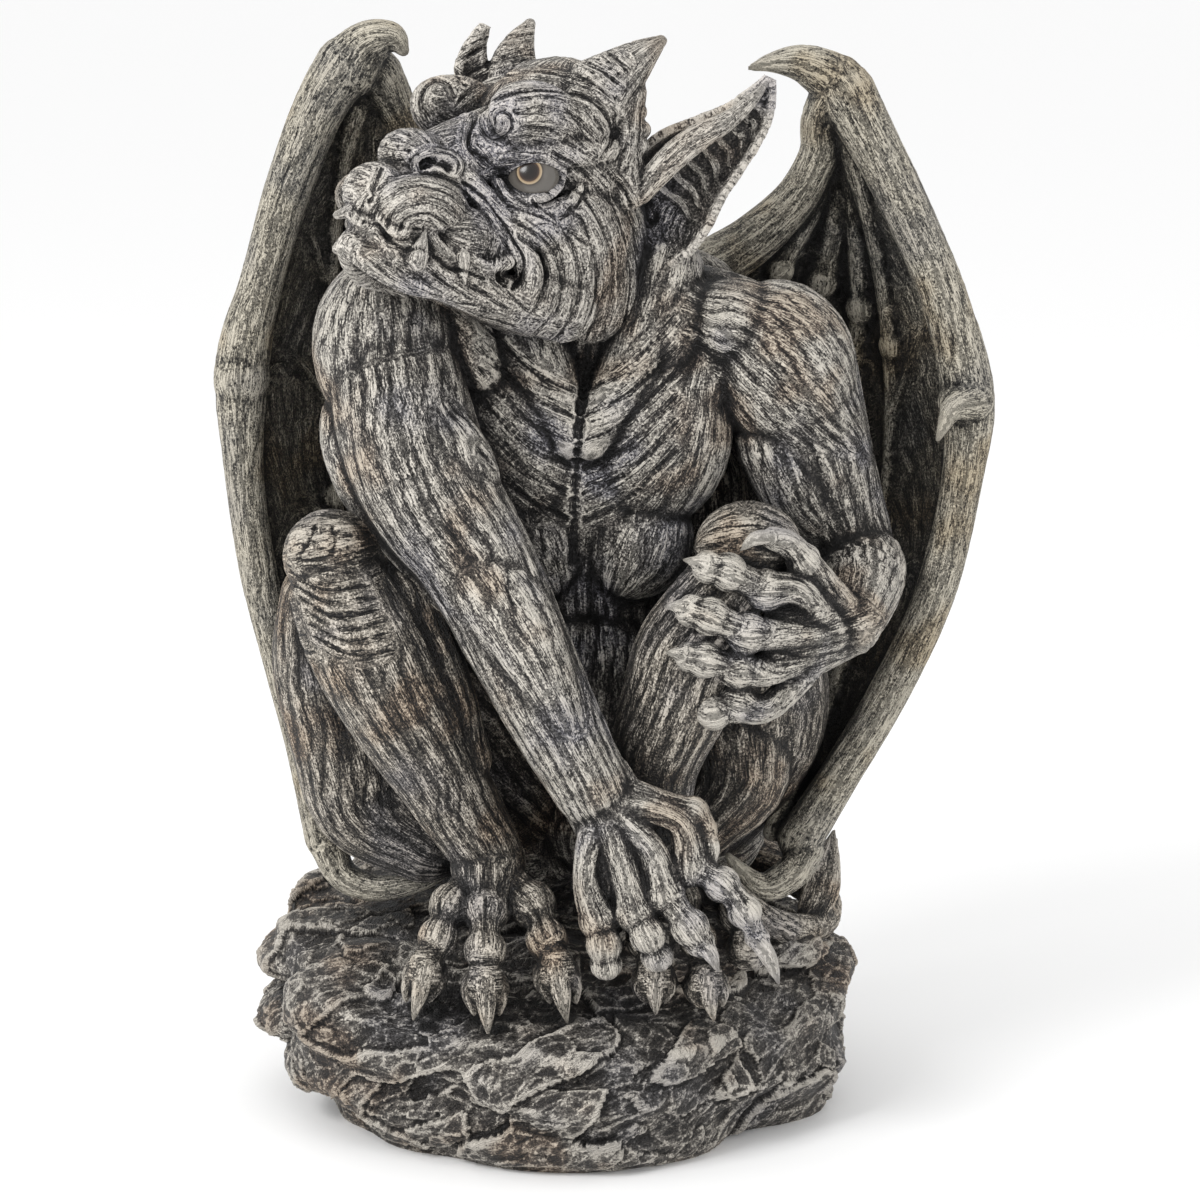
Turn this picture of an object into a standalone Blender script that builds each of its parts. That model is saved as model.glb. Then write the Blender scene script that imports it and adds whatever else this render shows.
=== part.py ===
"""A seated gargoyle, cast in one piece with the rock it crouches on.

The figure is laid out as a sculptor lays out a maquette: every limb is a tapered tube along a bent
spine, every muscle an egg, each wing a fan of finger bones with skin between them. The forms are
joined into one skin, smoothed, and cut flat underneath.

Places are shares of the height. A place that the front view shows is given by its column and row in
that view, 1200 units square, and by its depth behind the middle plane in the same units.
"""

import math

import bmesh
import bpy
from mathutils import Matrix, Vector, noise

# Driving dimensions, in metres.
HEIGHT = 0.48
SKIN_CELL = 0.0021
WING_SKIN = 0.0075

# The front view: its units, the eye that sees it and the point it looks at.
UNITS_TALL = 1086
VIEW_MIDDLE = 600
VIEW_DISTANCE = 3600
VIEW_ELEVATION = math.radians(12)
VIEW_HEIGHT = 517
UNIT = HEIGHT / UNITS_TALL

# Triangles that the finished cast keeps.
FACES_KEPT = 9400
SMOOTH_PASSES = 2
THINNING_PULL = 0.0001

# The head's own frame: where its middle is in the front view, and how it is turned and raised.
HEAD_MIDDLE = (560, 165, -30)
HEAD_TURN = math.radians(48)
HEAD_RAISE = math.radians(14)


def seen(column, row, depth):
    """The place, in units, that the front view shows at a column and row, at a depth behind the middle."""
    rise = (VIEW_MIDDLE - row) / VIEW_DISTANCE
    sine, cosine = math.sin(VIEW_ELEVATION), math.cos(VIEW_ELEVATION)
    # The sight line's rise over its own length fixes the height above the point that is looked at.
    above = (rise * (VIEW_DISTANCE + depth * cosine) - depth * sine) / (cosine + rise * sine)
    reach = VIEW_DISTANCE + depth * cosine - above * sine
    across = (column - VIEW_MIDDLE) / VIEW_DISTANCE * reach
    return Vector((across, depth, VIEW_HEIGHT + above))


def head_axes():
    """The head's forward, side and up directions."""
    turn_sine, turn_cosine = math.sin(HEAD_TURN), math.cos(HEAD_TURN)
    rise_sine, rise_cosine = math.sin(HEAD_RAISE), math.cos(HEAD_RAISE)
    forward = Vector((-turn_sine * rise_cosine, -turn_cosine * rise_cosine, rise_sine))
    side = Vector((turn_cosine, -turn_sine, 0))
    return forward, side, side.cross(forward) * -1


def on_face(column, row, aside, side=1):
    """The place, in units, that the front view shows at a column and row, at a distance aside from the
    head's middle plane. With side -1 it is that place's mirror image on the far half of the head."""
    across = head_axes()[1]
    middle, near = seen(*HEAD_MIDDLE), seen(column, row, 0)
    sight = seen(column, row, 1) - near
    place = near + sight * ((aside - (near - middle).dot(across)) / sight.dot(across))
    return place if side == 1 else place - across * (2 * aside)


def spline(points, steps):
    """Points with their radii along a smooth curve through the given ones, steps to each stretch."""
    ends = [points[0]] + list(points) + [points[-1]]
    fine = []
    for before, start, end, after in zip(ends, ends[1:], ends[2:], ends[3:]):
        for step in range(steps):
            t = step / steps
            weights = (
                (-t + 2 * t**2 - t**3) / 2,
                (2 - 5 * t**2 + 3 * t**3) / 2,
                (t + 4 * t**2 - 3 * t**3) / 2,
                (t**3 - t**2) / 2,
            )
            four = (before, start, end, after)
            place = sum((p[0] * w for p, w in zip(four, weights)), Vector())
            radius = sum(p[1] * w for p, w in zip(four, weights))
            fine.append((place, max(radius, 0.5)))
    return fine + [points[-1]]


def tube(form, points, flat=1.0, facing=(0, -1, 0), sides=14, steps=5):
    """A closed tapered tube with round ends. Its width across the facing direction is its radius,
    and flat is the share of that width that it is thick."""
    spine = spline(points, steps)
    first, last = spine[0], spine[-1]
    toward = (first[0] - spine[1][0]).normalized()
    away = (last[0] - spine[-2][0]).normalized()
    caps = [math.radians(angle) for angle in (75, 50, 25)]
    start = [(first[0] + toward * first[1] * math.sin(a) * flat, first[1] * math.cos(a)) for a in caps]
    end = [(last[0] + away * last[1] * math.sin(a) * flat, last[1] * math.cos(a)) for a in reversed(caps)]
    spine = start + spine + end
    rings = []
    for index, (place, radius) in enumerate(spine):
        before, after = spine[max(index - 1, 0)][0], spine[min(index + 1, len(spine) - 1)][0]
        along = (after - before).normalized()
        thin = Vector(facing) - along * along.dot(Vector(facing))
        thin = thin.normalized() if thin.length > 1e-3 else along.orthogonal().normalized()
        wide = along.cross(thin)
        ring = []
        for side in range(sides):
            angle = math.tau * side / sides
            spot = place + wide * (radius * math.cos(angle)) + thin * (radius * flat * math.sin(angle))
            ring.append(form.verts.new(spot))
        rings.append(ring)
    for ring, following in zip(rings, rings[1:]):
        for side in range(sides):
            other = (side + 1) % sides
            form.faces.new((ring[side], ring[other], following[other], following[side]))
    form.faces.new(reversed(rings[0]))
    form.faces.new(rings[-1])


def egg(form, middle, radii, tilt=0.0, axes=None):
    """A closed ellipsoid. tilt turns it clockwise in the front view, or axes give its own frame."""
    if axes is None:
        turn = Matrix.Rotation(math.radians(tilt), 3, "Y")
    else:
        turn = Matrix(axes).transposed()
    made = bmesh.ops.create_icosphere(form, subdivisions=3, radius=1.0)
    for vert in made["verts"]:
        vert.co = middle + turn @ Vector(c * r for c, r in zip(vert.co, radii))


def head_egg(form, place, radii, side=1):
    """An egg with the head's own axes: its place on the face, and its radii ahead, aside and up."""
    egg(form, on_face(*place, side), radii, axes=head_axes())


def slab(form, rows, thickness):
    """A closed curved plate of even thickness through a grid of places, half to each side of it."""
    high, wide = len(rows), len(rows[0])
    front, back = [], []
    for i, row in enumerate(rows):
        for j, place in enumerate(row):
            down = rows[min(i + 1, high - 1)][j] - rows[max(i - 1, 0)][j]
            over = row[min(j + 1, wide - 1)] - row[max(j - 1, 0)]
            out = down.cross(over)
            out = out.normalized() if out.length > 1e-6 else Vector((0, 1, 0))
            front.append(form.verts.new(place + out * thickness / 2))
            back.append(form.verts.new(place - out * thickness / 2))
    for i in range(high - 1):
        for j in range(wide - 1):
            corners = (i * wide + j, i * wide + j + 1, (i + 1) * wide + j + 1, (i + 1) * wide + j)
            form.faces.new([back[c] for c in corners])
            form.faces.new([front[c] for c in reversed(corners)])
    rim = [j for j in range(wide)] + [i * wide + wide - 1 for i in range(1, high)]
    rim += [(high - 1) * wide + j for j in range(wide - 2, -1, -1)] + [i * wide for i in range(high - 2, 0, -1)]
    for here, there in zip(rim, rim[1:] + rim[:1]):
        form.faces.new((front[here], front[there], back[there], back[here]))


def limb(form, *stations, **options):
    """A tube through stations of the front view: column, row, depth and radius each."""
    tube(form, [(seen(*station[:3]), station[3]) for station in stations], **options)


def feature(form, *stations, side=1, **options):
    """A tube through stations of the face: column, row, distance aside and radius each."""
    tube(form, [(on_face(*station[:3], side), station[3]) for station in stations], **options)


def add_trunk(form):
    """The trunk: belly and rib cage, chest muscles, shoulder blades and haunches."""
    backbone = ((600, 320, 30, 66), (600, 400, 15, 96), (594, 480, 5, 102), (590, 560, 15, 90),
                (592, 650, 40, 74), (592, 730, 60, 80), (592, 800, 80, 88))
    limb(form, *backbone, flat=0.85)
    breastbone, chest_row, rib_row = 585, 445, 540
    for column, tilt in ((655, 22), (515, -22)):
        egg(form, seen(column, chest_row, -46), (74, 44, 88), tilt=tilt)
        egg(form, seen(breastbone + (column - breastbone) * 0.72, rib_row, -42), (58, 42, 60), tilt=tilt)
    belly, blade_row, loin_row, rump_row = (590, 670, -10), 350, 500, 815
    egg(form, seen(*belly), (62, 52, 90))
    for column in (520, 680):
        egg(form, seen(column, blade_row, 70), (84, 62, 104))
        egg(form, seen(column, loin_row, 78), (70, 40, 90))
        egg(form, seen(column, rump_row, 110), (92, 88, 88))


def add_neck(form):
    """The bent neck, its cords down to the breastbone, and the slope on to each shoulder."""
    nape = ((600, 350, 25, 76), (594, 290, 5, 68), (580, 220, -15, 66))
    near_cord = ((664, 270, -10, 40), (650, 320, -24, 40), (624, 380, -56, 30), (590, 440, -80, 20))
    near_collar = ((700, 316, 0, 40), (716, 350, -16, 44), (680, 410, -40, 40))
    near_slope = ((640, 300, 20, 46), (720, 312, 15, 42), (780, 345, 5, 46))
    far_slope = ((560, 320, 20, 50), (470, 320, 0, 48), (400, 340, -40, 48))
    far_cord = ((520, 330, -30, 44), (545, 380, -52, 34), (572, 440, -76, 20))
    throat_cord = ((452, 318, -70, 22), (470, 340, -72, 24), (482, 372, -70, 20))
    collar_hollow = (655, 340, -14)
    for cord in (nape, near_cord, near_collar, near_slope, far_slope, far_cord, throat_cord):
        limb(form, *cord)
    egg(form, seen(*collar_hollow), (78, 52, 70), tilt=-38)


def add_spine(form):
    """The ridge down the middle of the back, from the nape to the rump, with a knob on each bone."""
    back_line, thickness = 600, 16
    ridge = [(seen(back_line, row, depth), thickness) for row, depth in
             ((240, 62), (320, 92), (410, 108), (510, 106), (600, 102), (690, 126), (780, 158))]
    tube(form, ridge)
    fine = spline(ridge, 6)
    for place, radius in fine[1::3]:
        egg(form, place + Vector((0, 14, 0)), (15, 17, 14))


def add_right_arm(form):
    """The arm that reaches across the body to the rock. It is the one under the chin."""
    shoulder, forearm_swell = (386, 348, -70), (452, 480, -135)
    whole_arm = ((390, 345, -70, 62), (404, 420, -100, 68), (430, 490, -128, 66), (476, 560, -152, 56),
                 (516, 640, -168, 50), (556, 722, -180, 44), (592, 788, -186, 38))
    outer_muscle = ((352, 420, -70, 34), (372, 480, -95, 36), (410, 540, -118, 28))
    inner_muscle = ((470, 560, -168, 38), (512, 620, -186, 42), (556, 700, -200, 30))
    egg(form, seen(*shoulder), (72, 66, 90), tilt=-4)
    egg(form, seen(*forearm_swell), (46, 44, 74), tilt=-16)
    for muscle in (whole_arm, outer_muscle, inner_muscle):
        limb(form, *muscle)


def add_right_hand(form):
    """The hand spread on the rock: palm, four bent fingers with knuckles, and the thumb."""
    palm = ((592, 780, -184, 38), (618, 830, -190, 40), (632, 880, -192, 38))
    root = (600, 800, -200, 16)
    fingers = (
        ((600, 920, -200, 19), (604, 945, -212, 16), (606, 962, -208, 14)),
        ((637, 912, -210, 19), (648, 935, -222, 16), (657, 956, -214, 14)),
        ((664, 893, -208, 19), (690, 927, -224, 17), (702, 946, -222, 13), (717, 970, -226, 4)),
        ((690, 866, -198, 19), (722, 884, -206, 16), (745, 912, -212, 15), (762, 944, -212, 12), (779, 983, -216, 3)),
    )
    limb(form, *palm, flat=0.55)
    for finger in fingers:
        knuckle = finger[0]
        tendon = (knuckle[0] - 14, knuckle[1] - 46, knuckle[2] - 2, 13)
        limb(form, root, tendon, knuckle)
        limb(form, *finger)
        for joint in finger[:2]:
            egg(form, seen(*joint[:3]), (joint[3] + 2,) * 3)
    thumb = ((630, 800, -186, 22), (662, 806, -186, 16), (692, 814, -186, 14), (706, 830, -190, 12),
             (712, 850, -196, 9), (711, 872, -200, 3))
    thumb_knuckle = (692, 813, -186)
    limb(form, *thumb)
    egg(form, seen(*thumb_knuckle), (17, 17, 17))


def add_left_arm(form):
    """The arm bent over the raised knee: shoulder, upper arm and the forearm coming forward."""
    shoulder, collar_end = (782, 368, -18), (742, 330, -20)
    upper_arm = ((786, 370, -15, 70), (806, 450, 0, 66), (836, 515, 12, 52), (856, 560, 8, 42))
    front_muscle = ((775, 440, -30, 40), (800, 490, -25, 38), (836, 535, 0, 28))
    forearm = ((858, 552, 12, 42), (862, 582, -36, 42), (850, 626, -100, 30))
    egg(form, seen(*shoulder), (74, 74, 88), tilt=-12)
    egg(form, seen(*collar_end), (60, 56, 50), tilt=20)
    for muscle in (upper_arm, front_muscle, forearm):
        limb(form, *muscle)


def add_left_hand(form):
    """The hand hung over the shin, fingers to the front view's left, and the thumb over the knee."""
    palm = ((850, 626, -100, 32), (812, 636, -132, 40), (774, 642, -150, 42))
    wrist = (834, 634, -124, 16)
    fingers = (
        ((765, 590, -166, 19), (728, 572, -180, 17), (706, 566, -181, 13), (685, 560, -180, 3)),
        ((747, 633, -178, 19), (710, 616, -188, 17), (690, 610, -185, 13), (665, 606, -182, 3)),
        ((738, 668, -174, 18), (704, 660, -184, 16), (688, 656, -183, 12), (667, 652, -179, 3)),
        ((736, 703, -166, 18), (714, 712, -170, 16), (700, 705, -153, 12)),
    )
    limb(form, *palm, flat=0.55, facing=(0.3, -1, 0))
    for finger in fingers:
        knuckle = finger[0]
        tendon = (knuckle[0] + 36, knuckle[1] + 2, knuckle[2] + 10, 14)
        limb(form, wrist, tendon, knuckle)
        limb(form, *finger)
        for joint in finger[:2]:
            egg(form, seen(*joint[:3]), (joint[3] + 2,) * 3)
    thumb = ((842, 608, -112, 18), (806, 562, -150, 13), (790, 545, -160, 13), (766, 537, -176, 11),
             (742, 552, -186, 3))
    thumb_knuckle = (803, 560, -152)
    limb(form, *thumb)
    egg(form, seen(*thumb_knuckle), (17, 17, 17))


def add_right_leg(form):
    """The leg on the side of the reaching arm: haunch, knee, shin, and the calf squeezed behind it."""
    thigh = ((500, 780, 80, 88), (420, 700, 10, 90), (368, 620, -70, 72), (340, 562, -108, 50))
    calf = ((326, 600, -60, 46), (330, 660, -40, 58), (352, 740, -20, 62), (372, 800, -20, 60), (424, 840, -40, 44))
    shin = ((344, 596, -124, 54), (366, 640, -136, 60), (400, 705, -140, 56), (446, 785, -132, 44),
            (486, 850, -124, 36))
    inner_shin = ((405, 600, -120, 34), (438, 680, -130, 32), (466, 760, -130, 26))
    knee, kneecap = (332, 556, -118), (330, 546, -150)
    for muscle in (thigh, calf, shin, inner_shin):
        limb(form, *muscle)
    egg(form, seen(*knee), (48, 44, 46))
    egg(form, seen(*kneecap), (32, 20, 28))


def add_left_leg(form):
    """The leg whose knee carries the hand."""
    thigh = ((690, 780, 80, 92), (745, 715, 20, 84), (752, 630, -50, 66), (748, 560, -100, 50))
    calf = ((725, 700, -20, 60), (735, 770, -30, 56), (700, 820, -40, 40))
    shin = ((735, 590, -122, 50), (694, 650, -128, 56), (676, 700, -126, 54), (655, 760, -116, 45),
            (648, 830, -112, 38))
    knee = (748, 548, -112)
    for muscle in (thigh, calf, shin):
        limb(form, *muscle)
    egg(form, seen(*knee), (52, 48, 46))


def add_foot(form, ankle, toes):
    """A clawed foot: heel, toe bones, and for each toe two knuckles and a claw."""
    heel = (ankle[0], ankle[1] + 20, ankle[2] + 70, 34)
    instep = (ankle[0], ankle[1] + 30, ankle[2] - 25, 32)
    limb(form, heel, (*ankle, 38), instep)
    for toe in toes:
        limb(form, (ankle[0], ankle[1], ankle[2] - 10, 20), *toe[:-1])
        for joint in toe[:2]:
            egg(form, seen(*joint[:3]), (joint[3] + 3,) * 3)
        pad, tip = toe[2:]
        egg(form, seen(pad[0], pad[1] + 8, pad[2] + 8), (pad[3] + 8, pad[3] + 8, pad[3] + 6))
        base = (pad[0], pad[1] - 4, pad[2] - 6, pad[3] - 3)
        middle = (pad[0], pad[1] + 12, pad[2] - 14, pad[3] - 6)
        limb(form, base, middle, tip)


def add_feet(form):
    """Three toes show on one foot, and two reach out from under the hand on the other."""
    right_ankle, left_ankle = (488, 862, -118), (648, 850, -112)
    right_toes = (
        ((446, 905, -158, 20), (440, 948, -186, 17), (428, 988, -196, 15), (418, 1022, -214, 3)),
        ((490, 908, -168, 21), (489, 958, -200, 19), (490, 994, -210, 16), (492, 1038, -230, 3)),
        ((540, 905, -158, 21), (554, 948, -188, 19), (562, 984, -198, 16), (576, 1026, -216, 3)),
    )
    left_toes = (
        ((630, 905, -160, 18), (645, 940, -186, 16), (654, 978, -198, 16), (656, 1014, -214, 3)),
        ((680, 900, -160, 18), (698, 940, -186, 16), (706, 982, -196, 16), (714, 1020, -214, 3)),
        ((716, 890, -140, 18), (736, 915, -166, 16), (748, 945, -180, 15), (756, 960, -190, 6)),
    )
    add_foot(form, right_ankle, right_toes)
    add_foot(form, left_ankle, left_toes)


def add_skull(form):
    """The skull, muzzle, nose and throat, which the middle plane halves."""
    skull, jaw_root, palate, mouth_root = (556, 150, 0), (566, 232, 0), (436, 222, 0), (500, 230, 0)
    nose_ball, lip_ball = (411, 156, 0), (376, 193, 0)
    bridge = ((520, 150, 0, 52), (468, 160, 0, 42), (425, 180, 0, 40), (392, 200, 0, 34))
    crest = ((468, 160, 0, 20), (462, 138, 0, 11), (466, 122, 0, 9))
    under_jaw = ((356, 247, 0, 15), (392, 258, 0, 22), (440, 268, 0, 30), (520, 290, 0, 44), (590, 300, 0, 46))
    head_egg(form, skull, (88, 80, 90))
    head_egg(form, jaw_root, (70, 66, 76))
    head_egg(form, palate, (64, 42, 50))
    head_egg(form, mouth_root, (60, 52, 80))
    head_egg(form, nose_ball, (30, 34, 26))
    head_egg(form, lip_ball, (30, 34, 29))
    feature(form, *bridge, sides=16)
    feature(form, *crest)
    feature(form, *under_jaw)


def add_brow_and_eye(form, side):
    """The heavy brow, the eyeball and its two lids."""
    brow_bulge, temple, eyeball = (538, 120, 58), (585, 120, 62), (533, 176, 52)
    brow = ((468, 146, 18, 13), (490, 154, 36, 15), (530, 150, 58, 17), (575, 156, 70, 15), (604, 150, 74, 14))
    upper_lid = ((507, 170, 50, 6), (520, 159, 58, 6), (540, 157, 66, 6), (558, 165, 70, 6), (566, 177, 70, 6))
    lower_lid = ((507, 170, 50, 6), (516, 188, 56, 7), (537, 197, 64, 8), (557, 190, 70, 7), (566, 177, 70, 6))
    head_egg(form, brow_bulge, (58, 26, 34), side)
    head_egg(form, temple, (34, 24, 34), side)
    head_egg(form, eyeball, (25, 25, 25), side)
    for fold in (brow, upper_lid, lower_lid):
        feature(form, *fold, side=side)


def add_cheek_and_mouth(form, side):
    """The cheeks, the nose wing, the pads of the upper lip, the lips and the jaw's edge."""
    cheekbone, cheek, back_cheek, jaw_corner = (583, 216, 58), (540, 226, 50), (578, 245, 46), (594, 288, 40)
    head_egg(form, cheekbone, (34, 24, 28), side)
    head_egg(form, cheek, (48, 26, 28), side)
    head_egg(form, back_cheek, (62, 36, 66), side)
    head_egg(form, jaw_corner, (50, 34, 54), side)
    nose_wing, lip_pad, back_pad = (440, 168, 26), (424, 206, 32), (464, 236, 42)
    gum, mouth_corner = (412, 248, 26), (494, 240, 40)
    head_egg(form, nose_wing, (22, 15, 16), side)
    head_egg(form, lip_pad, (52, 26, 29), side)
    head_egg(form, back_pad, (30, 18, 28), side)
    head_egg(form, gum, (34, 18, 18), side)
    head_egg(form, mouth_corner, (34, 18, 36), side)
    cheek_fold = ((466, 178, 34, 11), (492, 208, 46, 12), (516, 242, 56, 13), (530, 276, 62, 13), (520, 302, 62, 10),
                  (494, 309, 56, 9))
    upper_lip = ((363, 208, 0, 7), (376, 213, 16, 7), (386, 225, 26, 7), (398, 234, 34, 7), (425, 231, 42, 7),
                 (437, 245, 48, 7), (458, 259, 52, 7), (486, 267, 56, 7), (508, 264, 60, 7))
    inner_lip = ((358, 217, 0, 9), (372, 224, 10, 10), (386, 238, 18, 10), (400, 249, 27, 10), (420, 251, 34, 10),
                 (436, 257, 41, 10), (452, 267, 45, 9), (470, 270, 48, 9), (486, 277, 52, 9))
    lower_lip = ((361, 230, 0, 9), (374, 238, 16, 8), (386, 248, 26, 7), (398, 262, 34, 7), (415, 271, 40, 7),
                 (433, 267, 44, 7), (448, 274, 48, 7), (464, 283, 52, 7), (478, 276, 54, 7), (488, 290, 58, 7),
                 (503, 301, 60, 7), (520, 292, 64, 7))
    jaw_edge = ((372, 256, 14, 15), (410, 275, 30, 14), (450, 287, 40, 16), (500, 300, 46, 24), (560, 306, 46, 36))
    for fold in (cheek_fold, upper_lip, inner_lip, lower_lip, jaw_edge):
        feature(form, *fold, side=side)
    # A lower tusk stands up outside the lip and an upper one hangs down behind it.
    lower_tusk = ((417, 262, 44, 10), (421, 247, 49, 7), (425, 231, 50, 2))
    upper_tusk = ((463, 258, 56, 7), (464, 270, 58, 5), (465, 284, 58, 2))
    feature(form, *lower_tusk, side=side, steps=3)
    feature(form, *upper_tusk, side=side, steps=3)


def add_face(form):
    """Both halves of the face."""
    for side in (1, -1):
        add_brow_and_eye(form, side)
        add_cheek_and_mouth(form, side)


def add_horns(form):
    """Two horns that flare out from the crown, with a rough ridge from each down to the ear."""
    near_horn = ((600, 92, 58, 36), (620, 74, 68, 27), (641, 56, 82, 17), (660, 41, 93, 7))
    far_horn = ((522, 104, 60, 36), (514, 74, 66, 27), (518, 48, 70, 18), (529, 26, 72, 7))
    ridge = ((622, 92, 66, 24), (622, 122, 66, 21), (622, 152, 66, 20), (628, 190, 66, 20))
    feature(form, *near_horn)
    limb(form, *far_horn)
    for side in (1, -1):
        feature(form, *ridge, side=side)


def add_ear(form, stations, across, hollow):
    """A pointed cupped ear along its middle line, as stations of the front view with half widths.
    across is the direction over the ear's width, and hollow is how deep its cup is for its half width."""
    spine = spline([(seen(*station[:3]), station[3]) for station in stations], 4)
    rows = []
    for index, (place, half) in enumerate(spine):
        along = (spine[min(index + 1, len(spine) - 1)][0] - spine[max(index - 1, 0)][0]).normalized()
        wide = (across - along * across.dot(along)).normalized()
        back = along.cross(wide)
        row = []
        for step in range(9):
            angle = math.radians(-84 + 168 * step / 8)
            row.append(place + wide * (half * math.sin(angle)) + back * (half * hollow * math.cos(angle)))
        rows.append(row)
    slab(form, rows, 13)


def add_ears(form):
    """The near ear sweeps out and back, its upper rim rolled over. The far one is pricked up behind."""
    near_ear = ((640, 262, -50, 30), (646, 236, -54, 46), (664, 202, -54, 50), (687, 172, -52, 45),
                (716, 148, -50, 34), (743, 124, -47, 23), (760, 100, -45, 14), (769, 80, -44, 4))
    near_roll = ((640, 196, -66, 10), (655, 176, -74, 13), (676, 154, -74, 14), (700, 136, -70, 13),
                 (726, 122, -64, 10), (750, 102, -56, 7), (766, 83, -47, 4))
    far_ear = ((540, 176, 20, 32), (505, 130, 44, 30), (476, 86, 58, 20), (474, 56, 62, 12), (486, 25, 64, 4))
    add_ear(form, near_ear, Vector((0.79, 0, -0.62)), 0.62)
    limb(form, *near_roll, flat=0.6)
    add_ear(form, far_ear, Vector((0.9, 0.3, 0.3)), 0.5)


def fan(bones, hollow, steps):
    """Places over a wing's skin: one row for each step down the bones, which all start at the wrist.
    Between two bones the skin sinks towards the back, and its lower edge is scalloped."""
    curves = []
    for bone in bones:
        fine = spline([(seen(*station[:3]), 1.0) for station in bone], 12)
        curves.append([fine[round(share / steps * (len(fine) - 1))][0] for share in range(steps + 1)])
    between = 5
    rows = []
    for step in range(steps + 1):
        row = []
        for panel, (first, second) in enumerate(zip(curves, curves[1:])):
            # The panel beside the leading bone reaches almost to the tips.
            rise = 0.10 if panel else 0.02
            for part in range(between):
                share = part / between
                sink = math.sin(math.pi * share)
                down = step * (1 - rise * sink)
                low, high = int(down), min(int(down) + 1, steps)
                a = first[low].lerp(first[high], down - low)
                b = second[low].lerp(second[high], down - low)
                row.append(a.lerp(b, share) + Vector((0, hollow * sink * step / steps, 0)))
        row.append(curves[-1][step])
        rows.append(row)
    return rows


def add_wing(form, arm, bones, hook, claw, hollow):
    """A folded wing: the arm up to the wrist, the finger bones from it, the skin and the hooked tips."""
    limb(form, *arm)
    for bone in bones:
        limb(form, *bone, sides=10)
    slab(form, fan([[station[:3] for station in bone] for bone in bones], hollow, 16), WING_SKIN / UNIT)
    limb(form, *hook)
    limb(form, *claw)


def add_left_wing(form):
    """The wing on the front view's right, seen on its hollow side."""
    arm = ((650, 330, 95, 34), (700, 276, 110, 30), (752, 240, 120, 26), (794, 200, 120, 22), (818, 156, 112, 20),
           (822, 122, 104, 22), (838, 94, 92, 28))
    leading = ((846, 92, 88, 30), (872, 140, 76, 26), (912, 220, 56, 24), (948, 310, 40, 24), (968, 398, 30, 27),
               (962, 480, 26, 21), (936, 590, 20, 21), (890, 690, 12, 21), (838, 778, 4, 21), (800, 838, 0, 24))
    second = ((842, 110, 100, 20), (876, 220, 118, 15), (896, 345, 122, 15), (892, 470, 112, 11), (870, 600, 84, 10),
              (820, 720, 50, 10), (772, 832, 14, 10))
    third = ((838, 110, 104, 18), (856, 210, 138, 14), (862, 308, 152, 14), (850, 420, 156, 10), (826, 560, 142, 9),
             (772, 720, 118, 8))
    fourth = ((834, 110, 104, 18), (838, 200, 142, 14), (822, 282, 160, 14), (800, 390, 168, 10), (768, 520, 162, 9),
              (724, 680, 142, 8))
    fifth = ((830, 110, 104, 18), (812, 200, 134, 14), (780, 270, 142, 12), (740, 370, 146, 10), (706, 480, 140, 9),
             (672, 620, 132, 8))
    inner = ((824, 122, 104, 12), (810, 180, 116, 12), (752, 240, 120, 12), (700, 290, 116, 12), (650, 360, 110, 12),
             (640, 460, 110, 10))
    hook = ((807, 850, -4, 18), (790, 874, -20, 18), (760, 886, -34, 14), (728, 856, -40, 4))
    claw = ((838, 82, 92, 28), (805, 64, 84, 20), (775, 62, 78, 11), (750, 68, 74, 4))
    thumb_claw = ((970, 402, 14, 20), (950, 412, -6, 12), (938, 440, -16, 3))
    add_wing(form, arm, (leading, second, third, fourth, fifth, inner), hook, claw, 18)
    limb(form, *thumb_claw)


def add_right_wing(form):
    """The wing on the front view's left, folded closer and seen edge on."""
    arm = ((540, 340, 95, 34), (480, 280, 120, 28), (430, 200, 126, 24), (400, 120, 112, 22), (375, 74, 88, 28))
    leading = ((345, 66, 66, 30), (318, 110, 56, 26), (288, 190, 46, 24), (262, 280, 36, 22), (242, 365, 28, 27),
               (244, 470, 22, 20), (258, 570, 16, 19), (280, 660, 10, 18), (304, 750, 4, 18), (326, 838, 0, 22))
    second = ((356, 84, 84, 20), (334, 190, 108, 14), (326, 300, 122, 13), (328, 400, 124, 12), (332, 500, 118, 13),
              (340, 640, 86, 9), (350, 800, 40, 8))
    third = ((362, 84, 90, 18), (352, 190, 126, 13), (362, 300, 150, 13), (372, 420, 158, 10), (392, 560, 150, 9),
             (430, 720, 120, 8))
    fourth = ((370, 84, 92, 18), (378, 190, 136, 13), (400, 300, 160, 12), (424, 410, 166, 10), (456, 530, 160, 9),
              (490, 680, 140, 8))
    fifth = ((378, 84, 92, 18), (408, 190, 138, 13), (440, 280, 150, 12), (476, 370, 152, 10), (510, 480, 144, 9),
             (534, 620, 130, 8))
    inner = ((386, 100, 100, 12), (404, 140, 112, 12), (430, 200, 126, 12), (480, 280, 120, 12), (530, 340, 112, 12),
             (560, 460, 110, 10))
    hook = ((328, 842, -2, 20), (342, 874, -16, 16), (376, 888, -30, 14), (420, 882, -40, 10), (448, 872, -46, 4))
    claw = ((350, 66, 68, 32), (368, 44, 60, 24), (392, 38, 54, 16), (402, 50, 50, 8))
    add_wing(form, arm, (leading, second, third, fourth, fifth, inner), hook, claw, 18)


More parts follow.
